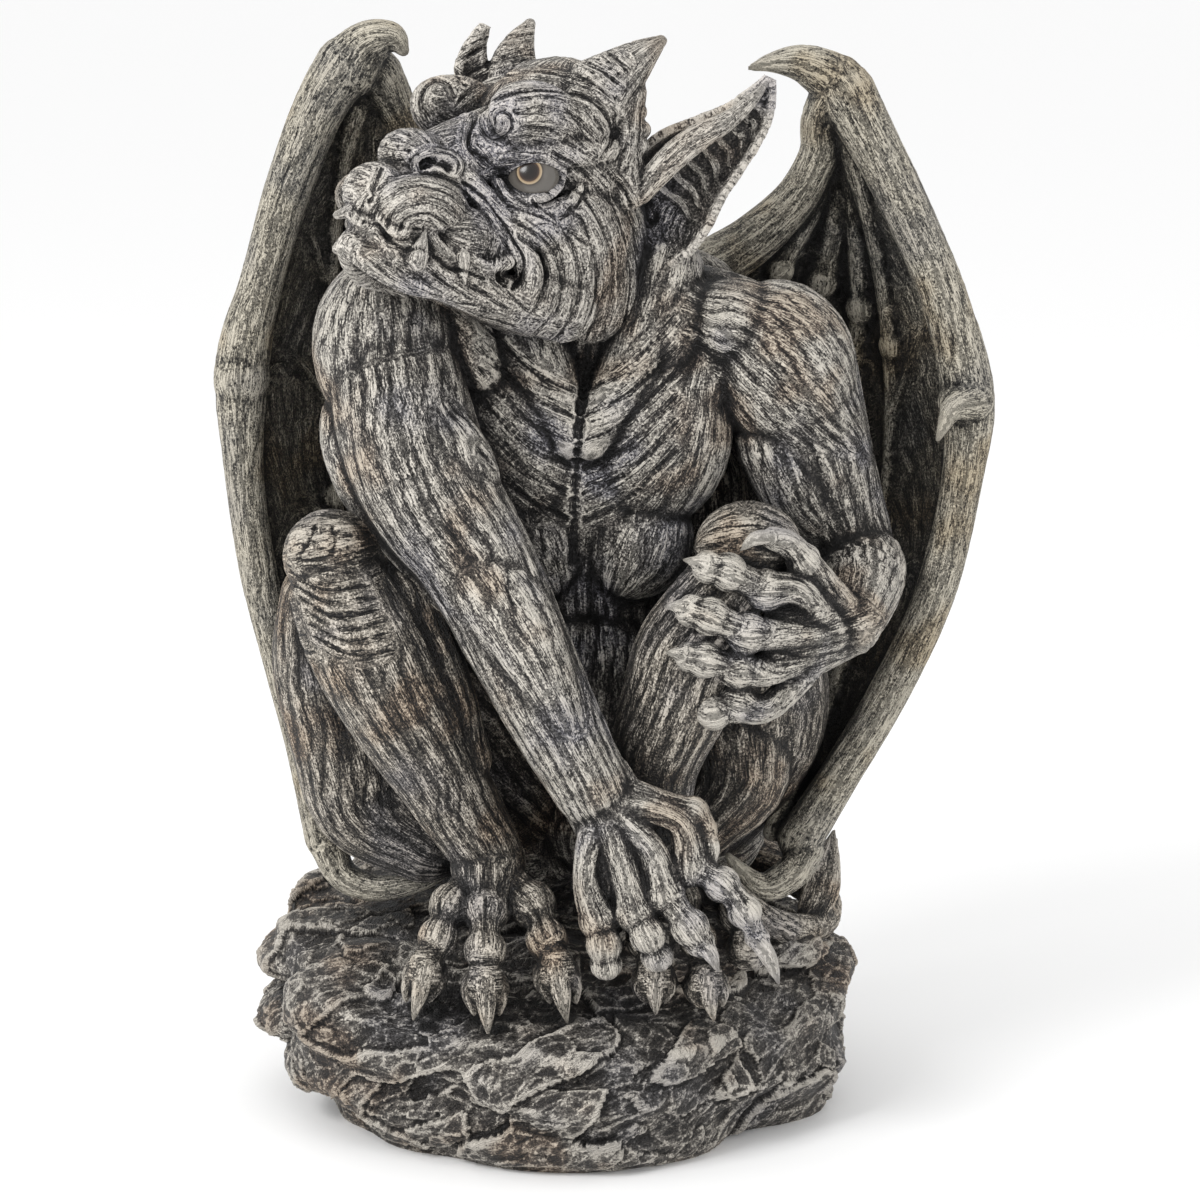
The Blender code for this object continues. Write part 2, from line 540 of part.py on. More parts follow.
def add_tail(form):
    """The tail comes round the hip, lies on the rock, and ends in a blade that stands up."""
    rope = ((640, 850, 190, 30), (730, 850, 190, 26), (806, 880, 130, 22), (824, 914, 60, 18), (800, 930, 0, 17),
            (766, 920, -40, 15), (732, 888, -50, 10))
    leaf = ((806, 926, 20, 14), (818, 898, 26, 22), (826, 868, 30, 18), (834, 830, 34, 3))
    limb(form, *rope)
    limb(form, *leaf, flat=0.45, facing=(0.5, -1, 0))


def rock_reach(angle, level):
    """How far the rock reaches from its middle, as a share of its half width, at a height share."""
    belly = 0.80 + 0.50 * level - 0.34 * level**2
    left, right = max(-math.cos(angle), 0), max(math.cos(angle), 0)
    lumps = 0.035 * math.sin(3 * angle + 0.6) + 0.03 * math.sin(5 * angle + 2.0)
    ledge = 0.05 * math.sin(2.5 * math.tau * level + 2 * angle)
    rough = noise.noise(Vector((2.6 * math.cos(angle), 2.6 * math.sin(angle), 2.4 * level)))
    return belly - 0.02 * right * level + lumps * (1 - 0.3 * left) + ledge * 0.4 + 0.09 * rough


def rock_top(x, y):
    """The height of the rock's top: it rises to the back and to the front view's left."""
    ripple = noise.noise(Vector((x / 70, y / 70, 1.5)))
    return 132 + 0.16 * (y + 240) - 0.09 * x + 12 * ripple


def add_rock(form):
    """The rock: rings of an uneven outline from the ground up, closed by the top."""
    middle, half_wide, half_deep = Vector((-38, -4, 0)), 294, 250
    around, levels, top_rings = 80, 10, 8
    rings = []
    for level in range(levels + top_rings):
        share = min(level / (levels - 1), 1.0)
        shrink = 1.0 - max(level - levels + 1, 0) / (top_rings + 0.2)
        ring = []
        for step in range(around):
            angle = math.tau * step / around
            reach = rock_reach(angle, share) * shrink
            x, y = half_wide * reach * math.cos(angle), half_deep * reach * math.sin(angle)
            edge = 10 * (shrink == 1.0) * share
            ring.append(form.verts.new(middle + Vector((x, y, -20 + (rock_top(x, y) + 20) * share - edge))))
        rings.append(ring)
    for ring, following in zip(rings, rings[1:]):
        for step in range(around):
            other = (step + 1) % around
            form.faces.new((ring[step], ring[other], following[other], following[step]))
    form.faces.new(reversed(rings[0]))
    form.faces.new(rings[-1])
    # The slabs that jut out at the front view's left, one over the other, and the one under the tail.
    slabs = ((312, 945, 30, 54, 24), (304, 1002, 20, 54, 26), (340, 1050, -50, 54, 34), (774, 940, 50, 62, 34))
    for column, row, depth, wide, high in slabs:
        egg(form, seen(column, row, depth), (wide, wide * 1.6, high), tilt=-8)


def joined_forms():
    """Every form of the figure and its rock in one mesh, in metres."""
    form = bmesh.new()
    for add in (add_rock, add_trunk, add_neck, add_spine, add_right_leg, add_left_leg, add_feet, add_right_arm,
                add_right_hand, add_left_arm, add_left_hand, add_skull, add_face, add_horns, add_ears,
                add_left_wing, add_right_wing, add_tail):
        add(form)
    bmesh.ops.scale(form, vec=(UNIT,) * 3, verts=form.verts)
    bmesh.ops.recalc_face_normals(form, faces=form.faces)
    mesh = bpy.data.meshes.new("forms")
    form.to_mesh(mesh)
    form.free()
    return mesh


def evaluated_mesh(source, name):
    """A copy of the object's mesh with its modifiers worked out."""
    graph = bpy.context.evaluated_depsgraph_get()
    mesh = bpy.data.meshes.new_from_object(source.evaluated_get(graph))
    mesh.name = name
    return mesh


def outer_shell(mesh):
    """Keeps the largest connected shell of the mesh, so that no pocket is left inside the cast."""
    form = bmesh.new()
    form.from_mesh(mesh)
    left, shells = set(form.verts), []
    while left:
        shell, edge = set(), [left.pop()]
        while edge:
            vert = edge.pop()
            shell.add(vert)
            for link in vert.link_edges:
                other = link.other_vert(vert)
                if other in left:
                    left.remove(other)
                    edge.append(other)
        shells.append(shell)
    shells.sort(key=len)
    bmesh.ops.delete(form, geom=[vert for shell in shells[:-1] for vert in shell], context="VERTS")
    form.to_mesh(mesh)
    form.free()


def cut_flat_underneath(mesh):
    """Cuts the rock off level at the ground and closes it, so that it stands on a flat face."""
    form = bmesh.new()
    form.from_mesh(mesh)
    everything = form.verts[:] + form.edges[:] + form.faces[:]
    bmesh.ops.bisect_plane(form, geom=everything, plane_co=(0, 0, 0), plane_no=(0, 0, -1), clear_outer=True)
    rim = [edge for edge in form.edges if edge.is_boundary]
    bmesh.ops.holes_fill(form, edges=rim)
    bmesh.ops.triangulate(form, faces=form.faces)
    bmesh.ops.recalc_face_normals(form, faces=form.faces)
    form.to_mesh(mesh)
    form.free()


def stone_material():
    """Cast resin painted as weathered grey stone."""
    material = bpy.data.materials.new("weathered_stone_resin")
    material.use_nodes = True
    shader = material.node_tree.nodes["Principled BSDF"]
    shader.inputs["Base Color"].default_value = (0.16, 0.15, 0.13, 1)
    shader.inputs["Roughness"].default_value = 0.75
    shader.inputs["Metallic"].default_value = 0.0
    return material


def detail_group(statue):
    """Marks how freely each place may be thinned: the face, hands and feet the least."""
    fine = ((seen(*HEAD_MIDDLE), 190, 0.0), (seen(640, 900, -200), 190, 0.4), (seen(470, 930, -150), 150, 0.5),
            (seen(740, 620, -160), 130, 0.4))
    group = statue.vertex_groups.new(name="thinning")
    for vert in statue.data.vertices:
        keep = 1.0
        for middle, reach, least in fine:
            away = (vert.co / UNIT - middle).length / reach
            if away < 1:
                keep = min(keep, least + (1 - least) * away**2)
        group.add([vert.index], max(1 - 0.98 * (1 - keep), 0.02), "REPLACE")
    return group.name


def cast_statue():
    """One skin over all the forms, smoothed, thinned to few faces and cut flat underneath."""
    scene = bpy.context.scene
    forms = bpy.data.objects.new("forms", joined_forms())
    scene.collection.objects.link(forms)
    skin = forms.modifiers.new("one_skin", "REMESH")
    skin.mode = "VOXEL"
    skin.voxel_size = SKIN_CELL
    smooth = forms.modifiers.new("soften", "SMOOTH")
    smooth.factor = 0.5
    smooth.iterations = SMOOTH_PASSES
    whole = evaluated_mesh(forms, "skin")
    bpy.data.objects.remove(forms)
    outer_shell(whole)
    statue = bpy.data.objects.new("gargoyle_statue", whole)
    scene.collection.objects.link(statue)
    thin = statue.modifiers.new("fewer_faces", "DECIMATE")
    whole.calc_loop_triangles()
    thin.ratio = FACES_KEPT / len(whole.loop_triangles)
    thin.use_collapse_triangulate = True
    thin.vertex_group = detail_group(statue)
    thin.vertex_group_factor = THINNING_PULL
    cast = evaluated_mesh(statue, "gargoyle_statue")
    statue.modifiers.clear()
    statue.vertex_groups.clear()
    statue.data = cast
    cut_flat_underneath(cast)
    cast.materials.clear()
    cast.materials.append(stone_material())
    cast.shade_smooth()
    return statue


for leftover in list(bpy.data.objects):
    bpy.data.objects.remove(leftover)
cast_statue()
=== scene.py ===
# %% [markdown]
# # A gargoyle crouching on its rock
#
# The object is a garden or shelf statue, cast in one piece from resin and painted to look like old
# stone. This lesson rebuilds its surface over a plain solid that is already made: the solid gives the
# true size, and everything here stays inside its box. A sculptor works from big forms to small marks,
# and so do the cells: bones and muscles first, one skin over them, then strands, folds and pits, and
# the paint last.

# %% The frame and the tools
import math
import bmesh
import bpy
import numpy as np
from mathutils import Matrix, Vector, noise
from mathutils.bvhtree import BVHTree


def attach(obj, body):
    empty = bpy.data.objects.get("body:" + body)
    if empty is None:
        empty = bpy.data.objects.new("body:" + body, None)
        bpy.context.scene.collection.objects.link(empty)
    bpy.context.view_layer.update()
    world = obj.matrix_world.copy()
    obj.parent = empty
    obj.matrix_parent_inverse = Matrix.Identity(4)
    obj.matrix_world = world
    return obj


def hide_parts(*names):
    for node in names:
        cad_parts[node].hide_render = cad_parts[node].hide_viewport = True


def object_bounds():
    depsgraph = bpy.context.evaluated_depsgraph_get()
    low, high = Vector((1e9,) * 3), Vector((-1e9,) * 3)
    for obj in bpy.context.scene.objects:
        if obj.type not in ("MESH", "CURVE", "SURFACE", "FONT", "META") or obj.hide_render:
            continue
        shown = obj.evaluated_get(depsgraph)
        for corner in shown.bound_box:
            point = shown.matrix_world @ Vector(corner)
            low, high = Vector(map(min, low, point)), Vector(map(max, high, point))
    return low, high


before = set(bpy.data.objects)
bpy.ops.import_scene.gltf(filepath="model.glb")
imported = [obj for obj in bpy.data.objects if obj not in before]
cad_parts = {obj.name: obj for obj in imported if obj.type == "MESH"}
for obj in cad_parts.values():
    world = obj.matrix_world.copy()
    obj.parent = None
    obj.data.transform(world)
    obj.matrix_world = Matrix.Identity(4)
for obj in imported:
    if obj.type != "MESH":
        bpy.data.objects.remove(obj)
CAD_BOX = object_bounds()
STATUE = "gargoyle_statue"
print("the solid's box, in metres:", [tuple(round(c, 4) for c in corner) for corner in CAD_BOX])

# %% [markdown]
# ## Places, as the front view shows them
#
# A statue like this is copied from a front view, so each place is written the way one would point at
# it there: a column, a row, and a depth behind the middle plane. One function turns that into a real
# place. It could be done with plain x, y and z, but then nobody could tell what a number points at.
# The units are small: 1086 of them make the statue's height of 0.48 m.

# %% The front view
UNIT = 0.48 / 1086
VIEW_MIDDLE = 600
VIEW_DISTANCE = 3600
VIEW_ELEVATION = math.radians(12)
VIEW_HEIGHT = 517
FRAME_WIDE = 1200


def seen(column, row, depth):
    """The place, in units, that the front view shows at a column and row, at a depth behind the middle."""
    rise = (VIEW_MIDDLE - row) / VIEW_DISTANCE
    sine, cosine = math.sin(VIEW_ELEVATION), math.cos(VIEW_ELEVATION)
    above = (rise * (VIEW_DISTANCE + depth * cosine) - depth * sine) / (cosine + rise * sine)
    reach = VIEW_DISTANCE + depth * cosine - above * sine
    return Vector(((column - VIEW_MIDDLE) / VIEW_DISTANCE * reach, depth, VIEW_HEIGHT + above))


EYE = Vector((0, -VIEW_DISTANCE * math.cos(VIEW_ELEVATION), VIEW_HEIGHT + VIEW_DISTANCE * math.sin(VIEW_ELEVATION)))
print("one unit is", round(UNIT * 1000, 3), "mm; the eye stands", round(EYE.length * UNIT, 2), "m away")

# %% The head's own frame
HEAD_MIDDLE = (560, 165, -30)
HEAD_TURN = math.radians(48)
HEAD_RAISE = math.radians(14)


def head_axes():
    """The head's forward, side and up directions."""
    turn_sine, turn_cosine = math.sin(HEAD_TURN), math.cos(HEAD_TURN)
    rise_sine, rise_cosine = math.sin(HEAD_RAISE), math.cos(HEAD_RAISE)
    forward = Vector((-turn_sine * rise_cosine, -turn_cosine * rise_cosine, rise_sine))
    side = Vector((turn_cosine, -turn_sine, 0))
    return forward, side, side.cross(forward) * -1


def on_face(column, row, aside, side=1):
    """The place that the view shows at a column and row, at a distance aside from the head's middle
    plane. With side -1 it is that place's mirror image on the far half of the head."""
    across = head_axes()[1]
    middle, near = seen(*HEAD_MIDDLE), seen(column, row, 0)
    sight = seen(column, row, 1) - near
    place = near + sight * ((aside - (near - middle).dot(across)) / sight.dot(across))
    return place if side == 1 else place - across * (2 * aside)


# %% [markdown]
# ## Clay: tubes, eggs and plates
#
# Muscles on a carved animal are long tapered tubes and eggs that press into each other. Each form
# added to the clay also leaves its grain behind: points along its bone, with the direction that its
# strands run in and the direction across them. Sculpting by hand gives the same forms, but named
# forms can be moved one at a time.

# %% The clay
FLESH, BONE, SKIN, CLAW, HORN, EAR = 0, 1, 2, 3, 4, 5


class Clay:
    """Closed forms pressed together, and a list of grain points left by each of them."""

    def __init__(self):
        """Empty clay: no forms yet, and no grain."""
        self.form = bmesh.new()
        self.grain = []
        self.count = 0

    def leave_grain(self, places, radii, alongs, wides, kind, around=1.0, across=None, flat=1.0):
        """A row per point: place, radius, along, wide, distance along, start across, around, flat, number, kind."""
        self.count += 1
        run = 0.0
        typical = sum(radii) / len(radii)
        for index, (place, radius, along, wide) in enumerate(zip(places, radii, alongs, wides)):
            if index:
                run += (place - places[index - 1]).length
            start = across[index] if across else 0.0
            self.grain.append((*place, radius, *along, *wide, run, start, around * typical, flat, self.count, kind))


def spline(points, steps):
    """Points with their radii along a smooth curve through the given ones, steps to each stretch."""
    ends = [points[0]] + list(points) + [points[-1]]
    fine = []
    for before, start, end, after in zip(ends, ends[1:], ends[2:], ends[3:]):
        for step in range(steps):
            t = step / steps
            weights = ((-t + 2 * t**2 - t**3) / 2, (2 - 5 * t**2 + 3 * t**3) / 2,
                       (t + 4 * t**2 - 3 * t**3) / 2, (t**3 - t**2) / 2)
            four = (before, start, end, after)
            place = sum((p[0] * w for p, w in zip(four, weights)), Vector())
            fine.append((place, max(sum(p[1] * w for p, w in zip(four, weights)), 0.4)))
    return fine + [points[-1]]


def tube(clay, points, flat=1.0, facing=(0, -1, 0), sides=14, steps=5, kind=FLESH, striped=False, grain=True):
    """A closed tapered tube with round ends. Its width across the facing direction is its radius,
    and flat is the share of that width that it is thick. Striped, its strands run round it."""
    spine = spline(points, steps)
    first, last = spine[0], spine[-1]
    toward = (first[0] - spine[1][0]).normalized()
    away = (last[0] - spine[-2][0]).normalized()
    caps = [math.radians(angle) for angle in (75, 50, 25)]
    start = [(first[0] + toward * first[1] * math.sin(a) * flat, first[1] * math.cos(a)) for a in caps]
    end = [(last[0] + away * last[1] * math.sin(a) * flat, last[1] * math.cos(a)) for a in reversed(caps)]
    spine = start + spine + end
    rings, alongs, wides = [], [], []
    for index, (place, radius) in enumerate(spine):
        before, after = spine[max(index - 1, 0)][0], spine[min(index + 1, len(spine) - 1)][0]
        along = (after - before).normalized()
        thin = Vector(facing) - along * along.dot(Vector(facing))
        thin = thin.normalized() if thin.length > 1e-3 else along.orthogonal().normalized()
        wide = along.cross(thin)
        turns = [math.tau * side / sides for side in range(sides)]
        rings.append([clay.form.verts.new(place + wide * (radius * math.cos(a)) + thin * (radius * flat * math.sin(a)))
                      for a in turns])
        alongs.append(along)
        wides.append(wide)
    for ring, following in zip(rings, rings[1:]):
        for side in range(sides):
            other = (side + 1) % sides
            clay.form.faces.new((ring[side], ring[other], following[other], following[side]))
    clay.form.faces.new(reversed(rings[0]))
    clay.form.faces.new(rings[-1])
    keep = slice(2, -2)
    places, radii = [p for p, r in spine][keep], [r for p, r in spine][keep]
    if not grain:
        return
    if striped:
        runs = [0.0]
        for here, there in zip(places, places[1:]):
            runs.append(runs[-1] + (there - here).length)
        clay.leave_grain(places, radii, wides[keep], alongs[keep], kind, around=0.0, across=runs)
    else:
        clay.leave_grain(places, radii, alongs[keep], wides[keep], kind, flat=flat)


def egg(clay, middle, radii, tilt=0.0, axes=None, kind=FLESH, grain=True):
    """A closed ellipsoid. tilt turns it clockwise in the front view, or axes give its own frame."""
    turn = Matrix.Rotation(math.radians(tilt), 3, "Y") if axes is None else Matrix(axes).transposed()
    made = bmesh.ops.create_icosphere(clay.form, subdivisions=3, radius=1.0)
    for vert in made["verts"]:
        vert.co = middle + turn @ Vector(c * r for c, r in zip(vert.co, radii))
    if not grain:
        return
    order = sorted(range(3), key=lambda k: radii[k])
    longest, wider, thinner = order[2], order[1], order[0]
    along = turn @ Vector(1.0 if k == longest else 0.0 for k in range(3))
    wide = turn @ Vector(1.0 if k == wider else 0.0 for k in range(3))
    shares = (-0.92, -0.75, -0.5, -0.25, 0, 0.25, 0.5, 0.75, 0.92)
    places = [middle + along * (radii[longest] * share) for share in shares]
    across = [radii[wider] * math.sqrt(1 - share**2) for share in shares]
    clay.leave_grain(places, across, [along] * len(shares), [wide] * len(shares), kind,
                     flat=radii[thinner] / radii[wider])


def slab(clay, rows, thickness, kind=SKIN):
    """A closed curved plate of even thickness through a grid of places, half to each side of it."""
    high, wide = len(rows), len(rows[0])
    front, back = [], []
    downs, overs = [], []
    for i, row in enumerate(rows):
        for j, place in enumerate(row):
            down = rows[min(i + 1, high - 1)][j] - rows[max(i - 1, 0)][j]
            over = row[min(j + 1, wide - 1)] - row[max(j - 1, 0)]
            out = down.cross(over)
            out = out.normalized() if out.length > 1e-6 else Vector((0, 1, 0))
            front.append(clay.form.verts.new(place + out * thickness / 2))
            back.append(clay.form.verts.new(place - out * thickness / 2))
            downs.append(down.normalized() if down.length > 1e-6 else Vector((0, 0, -1)))
            overs.append(over.normalized() if over.length > 1e-6 else Vector((1, 0, 0)))
    for i in range(high - 1):
        for j in range(wide - 1):
            corners = (i * wide + j, i * wide + j + 1, (i + 1) * wide + j + 1, (i + 1) * wide + j)
            clay.form.faces.new([back[c] for c in corners])
            clay.form.faces.new([front[c] for c in reversed(corners)])
    rim = [j for j in range(wide)] + [i * wide + wide - 1 for i in range(1, high)]
    rim += [(high - 1) * wide + j for j in range(wide - 2, -1, -1)] + [i * wide for i in range(high - 2, 0, -1)]
    for here, there in zip(rim, rim[1:] + rim[:1]):
        clay.form.faces.new((front[here], front[there], back[there], back[here]))
    for i, row in enumerate(rows):
        across = [0.0]
        for left, right in zip(row, row[1:]):
            across.append(across[-1] + (right - left).length)
        clay.count += 1 if i == 0 else 0
        for j, place in enumerate(row):
            n = i * wide + j
            run = (rows[i][j] - rows[0][j]).length
            clay.grain.append((*place, thickness / 2, *downs[n], *overs[n], run, across[j], 0.0, 1.0, clay.count, kind))


def limb(clay, *stations, **options):
    """A tube through stations of the front view: column, row, depth and radius each."""
    tube(clay, [(seen(*station[:3]), station[3]) for station in stations], **options)


def comb(clay, *stations, **options):
    """Lays the grain of a limb through these stations, without its form."""
    spare = Clay()
    spare.count = clay.count
    limb(spare, *stations, **options)
    clay.grain += spare.grain
    clay.count = spare.count
    spare.form.free()


def feature(clay, *stations, side=1, **options):
    """A tube through stations of the face: column, row, distance aside and radius each."""
    tube(clay, [(on_face(*station[:3], side), station[3]) for station in stations], **options)


def head_egg(clay, place, radii, side=1, **options):
    """An egg with the head's own axes: its place on the face, and its radii ahead, aside and up."""
    egg(clay, on_face(*place, side), radii, axes=head_axes(), **options)


# %% [markdown]
# ## The trunk and the neck
#
# The real figure has a deep rib cage over a narrow belly, two chest muscles that meet on the
# breastbone, and thick cords from the jaw to the collar. Each is a tube or an egg with a name, so
# that a reader can see which number moves which muscle.

# %% Trunk, neck and spine
def add_trunk(clay):
    """The trunk: belly and rib cage, chest muscles, shoulder blades and haunches."""
    backbone = ((600, 320, 30, 66), (600, 400, 15, 96), (594, 480, 5, 102), (590, 560, 15, 90),
                (592, 650, 40, 74), (592, 730, 60, 80), (592, 800, 80, 88))
    limb(clay, *backbone, flat=0.85)
    breastbone, chest_row, rib_row = 585, 445, 540
    for column, tilt in ((655, 22), (515, -22)):
        egg(clay, seen(column, chest_row, -46), (74, 44, 88), tilt=tilt)
        egg(clay, seen(breastbone + (column - breastbone) * 0.72, rib_row, -42), (58, 42, 60), tilt=tilt)
    belly, blade_row, loin_row, rump_row = (590, 670, -10), 350, 500, 815
    egg(clay, seen(*belly), (62, 52, 90))
    for column in (520, 680):
        egg(clay, seen(column, blade_row, 70), (84, 62, 104))
        egg(clay, seen(column, loin_row, 78), (70, 40, 90))
        egg(clay, seen(column, rump_row, 110), (92, 88, 88))


def add_neck(clay):
    """The neck, its cords down to the breastbone, and the slope on to each shoulder."""
    nape = ((600, 350, 25, 76), (594, 290, 5, 68), (580, 220, -15, 66))
    near_cord = ((664, 270, -10, 40), (650, 320, -24, 40), (624, 380, -56, 30), (590, 440, -80, 20))
    near_collar = ((700, 316, 0, 40), (716, 350, -16, 44), (680, 410, -40, 40))
    near_slope = ((640, 300, 20, 46), (720, 312, 15, 42), (780, 345, 5, 46))
    far_slope = ((560, 320, 20, 50), (470, 320, 0, 48), (400, 340, -40, 48))
    far_cord = ((520, 330, -30, 44), (545, 380, -52, 34), (572, 440, -76, 20))
    throat_cord = ((452, 318, -70, 22), (470, 340, -72, 24), (482, 372, -70, 20))
    collar_hollow = (655, 340, -14)
    for cord in (nape, near_cord, near_slope, far_slope, far_cord, throat_cord):
        limb(clay, *cord)
    limb(clay, *near_collar, grain=False)
    egg(clay, seen(*collar_hollow), (78, 52, 70), tilt=-38, grain=False)


BACK_RIDGE = ((600, 240, 62, 16), (600, 320, 92, 16), (600, 410, 108, 16), (600, 510, 106, 16), (600, 600, 102, 16),
              (600, 690, 126, 16), (600, 780, 158, 16))
print("the back ridge runs over", len(BACK_RIDGE), "stations")

# %% [markdown]
# ## Arms and legs
#
# One arm reaches across the body to the rock, the other hangs over the raised knee. In the real
# statue these limbs carry the pose, so their outlines decide whether it looks right. A limb is one
# long tube with a few muscle eggs on it.

# %% Arms
def add_right_arm(clay):
    """The arm that reaches across the body to the rock. It is the one under the chin."""
    shoulder, forearm_swell = (386, 348, -70), (452, 480, -135)
    whole_arm = ((390, 345, -70, 62), (404, 420, -100, 68), (430, 490, -128, 66), (476, 560, -152, 56),
                 (516, 640, -168, 50), (556, 722, -180, 44), (592, 788, -186, 38))
    outer_muscle = ((358, 372, -64, 18), (354, 425, -72, 34), (372, 480, -95, 36), (412, 546, -118, 26),
                    (444, 600, -140, 12))
    inner_muscle = ((446, 520, -150, 20), (474, 565, -168, 38), (512, 622, -186, 42), (556, 702, -200, 28),
                    (584, 762, -200, 14))
    egg(clay, seen(*shoulder), (72, 66, 90), tilt=-4)
    limb(clay, *whole_arm)
    egg(clay, seen(*forearm_swell), (46, 44, 74), tilt=-16)
    limb(clay, *outer_muscle)
    limb(clay, *inner_muscle)


def add_left_arm(clay):
    """The arm bent over the raised knee: shoulder, upper arm and the forearm coming forward."""
    shoulder, collar_end = (782, 368, -18), (742, 330, -20)
    upper_arm = ((786, 370, -15, 70), (806, 450, 0, 66), (836, 515, 12, 52), (856, 560, 8, 42))
    front_muscle = ((775, 440, -30, 40), (800, 490, -25, 38), (836, 535, 0, 28))
    forearm = ((856, 528, 14, 24), (860, 556, 8, 42), (862, 582, -36, 42), (850, 626, -100, 30))
    over_shoulder = ((640, 300, 20, 30), (700, 318, -10, 46), (744, 338, -24, 72), (786, 368, -20, 82),
                     (822, 402, -14, 66), (846, 430, -8, 40))
    down_the_arm = ((806, 440, 0, 66), (826, 490, 6, 60), (850, 545, 10, 44))
    egg(clay, seen(*shoulder), (74, 74, 88), tilt=-12, grain=False)
    egg(clay, seen(*collar_end), (60, 56, 50), tilt=20, grain=False)
    limb(clay, *upper_arm, grain=False)
    for muscle in (front_muscle, forearm):
        limb(clay, *muscle)
    comb(clay, *over_shoulder)
    comb(clay, *down_the_arm)


# %% Legs
def add_right_leg(clay):
    """The leg on the side of the reaching arm: haunch, knee, shin, and the calf squeezed behind it."""
    thigh = ((500, 780, 80, 88), (420, 700, 10, 90), (368, 620, -70, 72), (340, 562, -108, 50))
    calf = ((326, 600, -60, 46), (330, 660, -40, 58), (352, 740, -20, 62), (372, 800, -20, 60),
            (424, 840, -40, 44))
    shin = ((344, 596, -124, 54), (366, 640, -136, 60), (400, 705, -140, 56), (446, 785, -132, 44),
            (486, 850, -124, 36))
    inner_shin = ((405, 600, -120, 34), (438, 680, -130, 32), (466, 760, -130, 26))
    knee, kneecap = (332, 556, -118), (328, 550, -136)
    across_the_knee = ((322, 506, -110, 40), (326, 545, -124, 50), (338, 590, -130, 54), (356, 630, -136, 58))
    for muscle in (thigh, calf, shin, inner_shin):
        limb(clay, *muscle)
    egg(clay, seen(*knee), (48, 44, 46), grain=False)
    egg(clay, seen(*kneecap), (40, 26, 34), grain=False)
    comb(clay, *across_the_knee, striped=True)


def add_left_leg(clay):
    """The leg whose knee carries the hand."""
    thigh = ((690, 780, 80, 92), (745, 715, 20, 84), (752, 630, -50, 66), (748, 560, -100, 50))
    calf = ((725, 700, -20, 60), (735, 770, -30, 56), (700, 820, -40, 40))
    shin = ((735, 590, -122, 50), (694, 650, -128, 56), (676, 700, -126, 54), (655, 760, -116, 45),
            (648, 830, -112, 38))
    knee = (748, 548, -112)
    for muscle in (thigh, calf, shin):
        limb(clay, *muscle)
    egg(clay, seen(*knee), (52, 48, 46))


# %% [markdown]
# ## Hands and feet
#
# The hands are the liveliest part of the real figure: tendons fan out over the back, each joint is a
# knob, and some fingers end in claws. A digit is one short list of stations, and the same few lines
# build every digit: a tendon, the finger, a knob on each joint, and a claw that is thicker at its
# root and set in a collar of flesh.

# %% Digits
def bony(stations, share=0.8):
    """The same stations, thinner, so that the knobs on the joints stand out."""
    return [(*station[:3], station[3] * share) for station in stations]


def add_digit(clay, root, tendon, finger, claw=None, knobs=2, swell=2):
    """A tendon from the root, the bent finger with knobs on its joints, and its claw."""
    limb(clay, root, tendon, finger[0])
    limb(clay, *bony(finger))
    for joint in finger[:knobs]:
        egg(clay, seen(*joint[:3]), (joint[3] + swell,) * 3, grain=False)
    if claw:
        collar = finger[-1]
        egg(clay, seen(*collar[:3]), (collar[3] + 1, collar[3], collar[3] - 2), grain=False)
        limb(clay, *claw, kind=CLAW, steps=4)


def add_right_hand(clay):
    """The hand spread on the rock: palm, four bent fingers with knuckles, and the thumb."""
    palm = ((592, 780, -184, 38), (618, 830, -190, 40), (632, 880, -192, 38))
    root = (600, 800, -200, 16)
    first = ((600, 920, -200, 19), (604, 945, -212, 16), (606, 964, -208, 14))
    second = ((637, 912, -210, 19), (648, 935, -222, 16), (657, 956, -214, 14))
    third = ((664, 893, -208, 19), (690, 927, -224, 17), (700, 942, -222, 13))
    fourth = ((690, 866, -198, 19), (722, 884, -206, 16), (745, 912, -212, 15), (757, 938, -212, 12))
    third_claw = ((703, 944, -226, 9), (711, 955, -232, 8), (718, 971, -230, 2))
    fourth_claw = ((760, 944, -218, 9), (770, 960, -222, 8), (779, 984, -218, 2))
    limb(clay, *palm, flat=0.55, grain=False)
    for finger, claw in ((first, None), (second, None), (third, third_claw), (fourth, fourth_claw)):
        knuckle = finger[0]
        tendon = (knuckle[0] - 14, knuckle[1] - 46, knuckle[2] - 2, 13)
        add_digit(clay, root, tendon, finger, claw, knobs=3)
    thumb = ((630, 800, -186, 22), (662, 806, -186, 16), (692, 814, -186, 14), (706, 830, -190, 12))
    thumb_claw = ((708, 834, -194, 8), (713, 850, -198, 7), (711, 873, -200, 2))
    thumb_knuckle = (692, 813, -186)
    limb(clay, *thumb)
    egg(clay, seen(*thumb_knuckle), (17, 17, 17), grain=False)
    limb(clay, *thumb_claw, kind=CLAW)


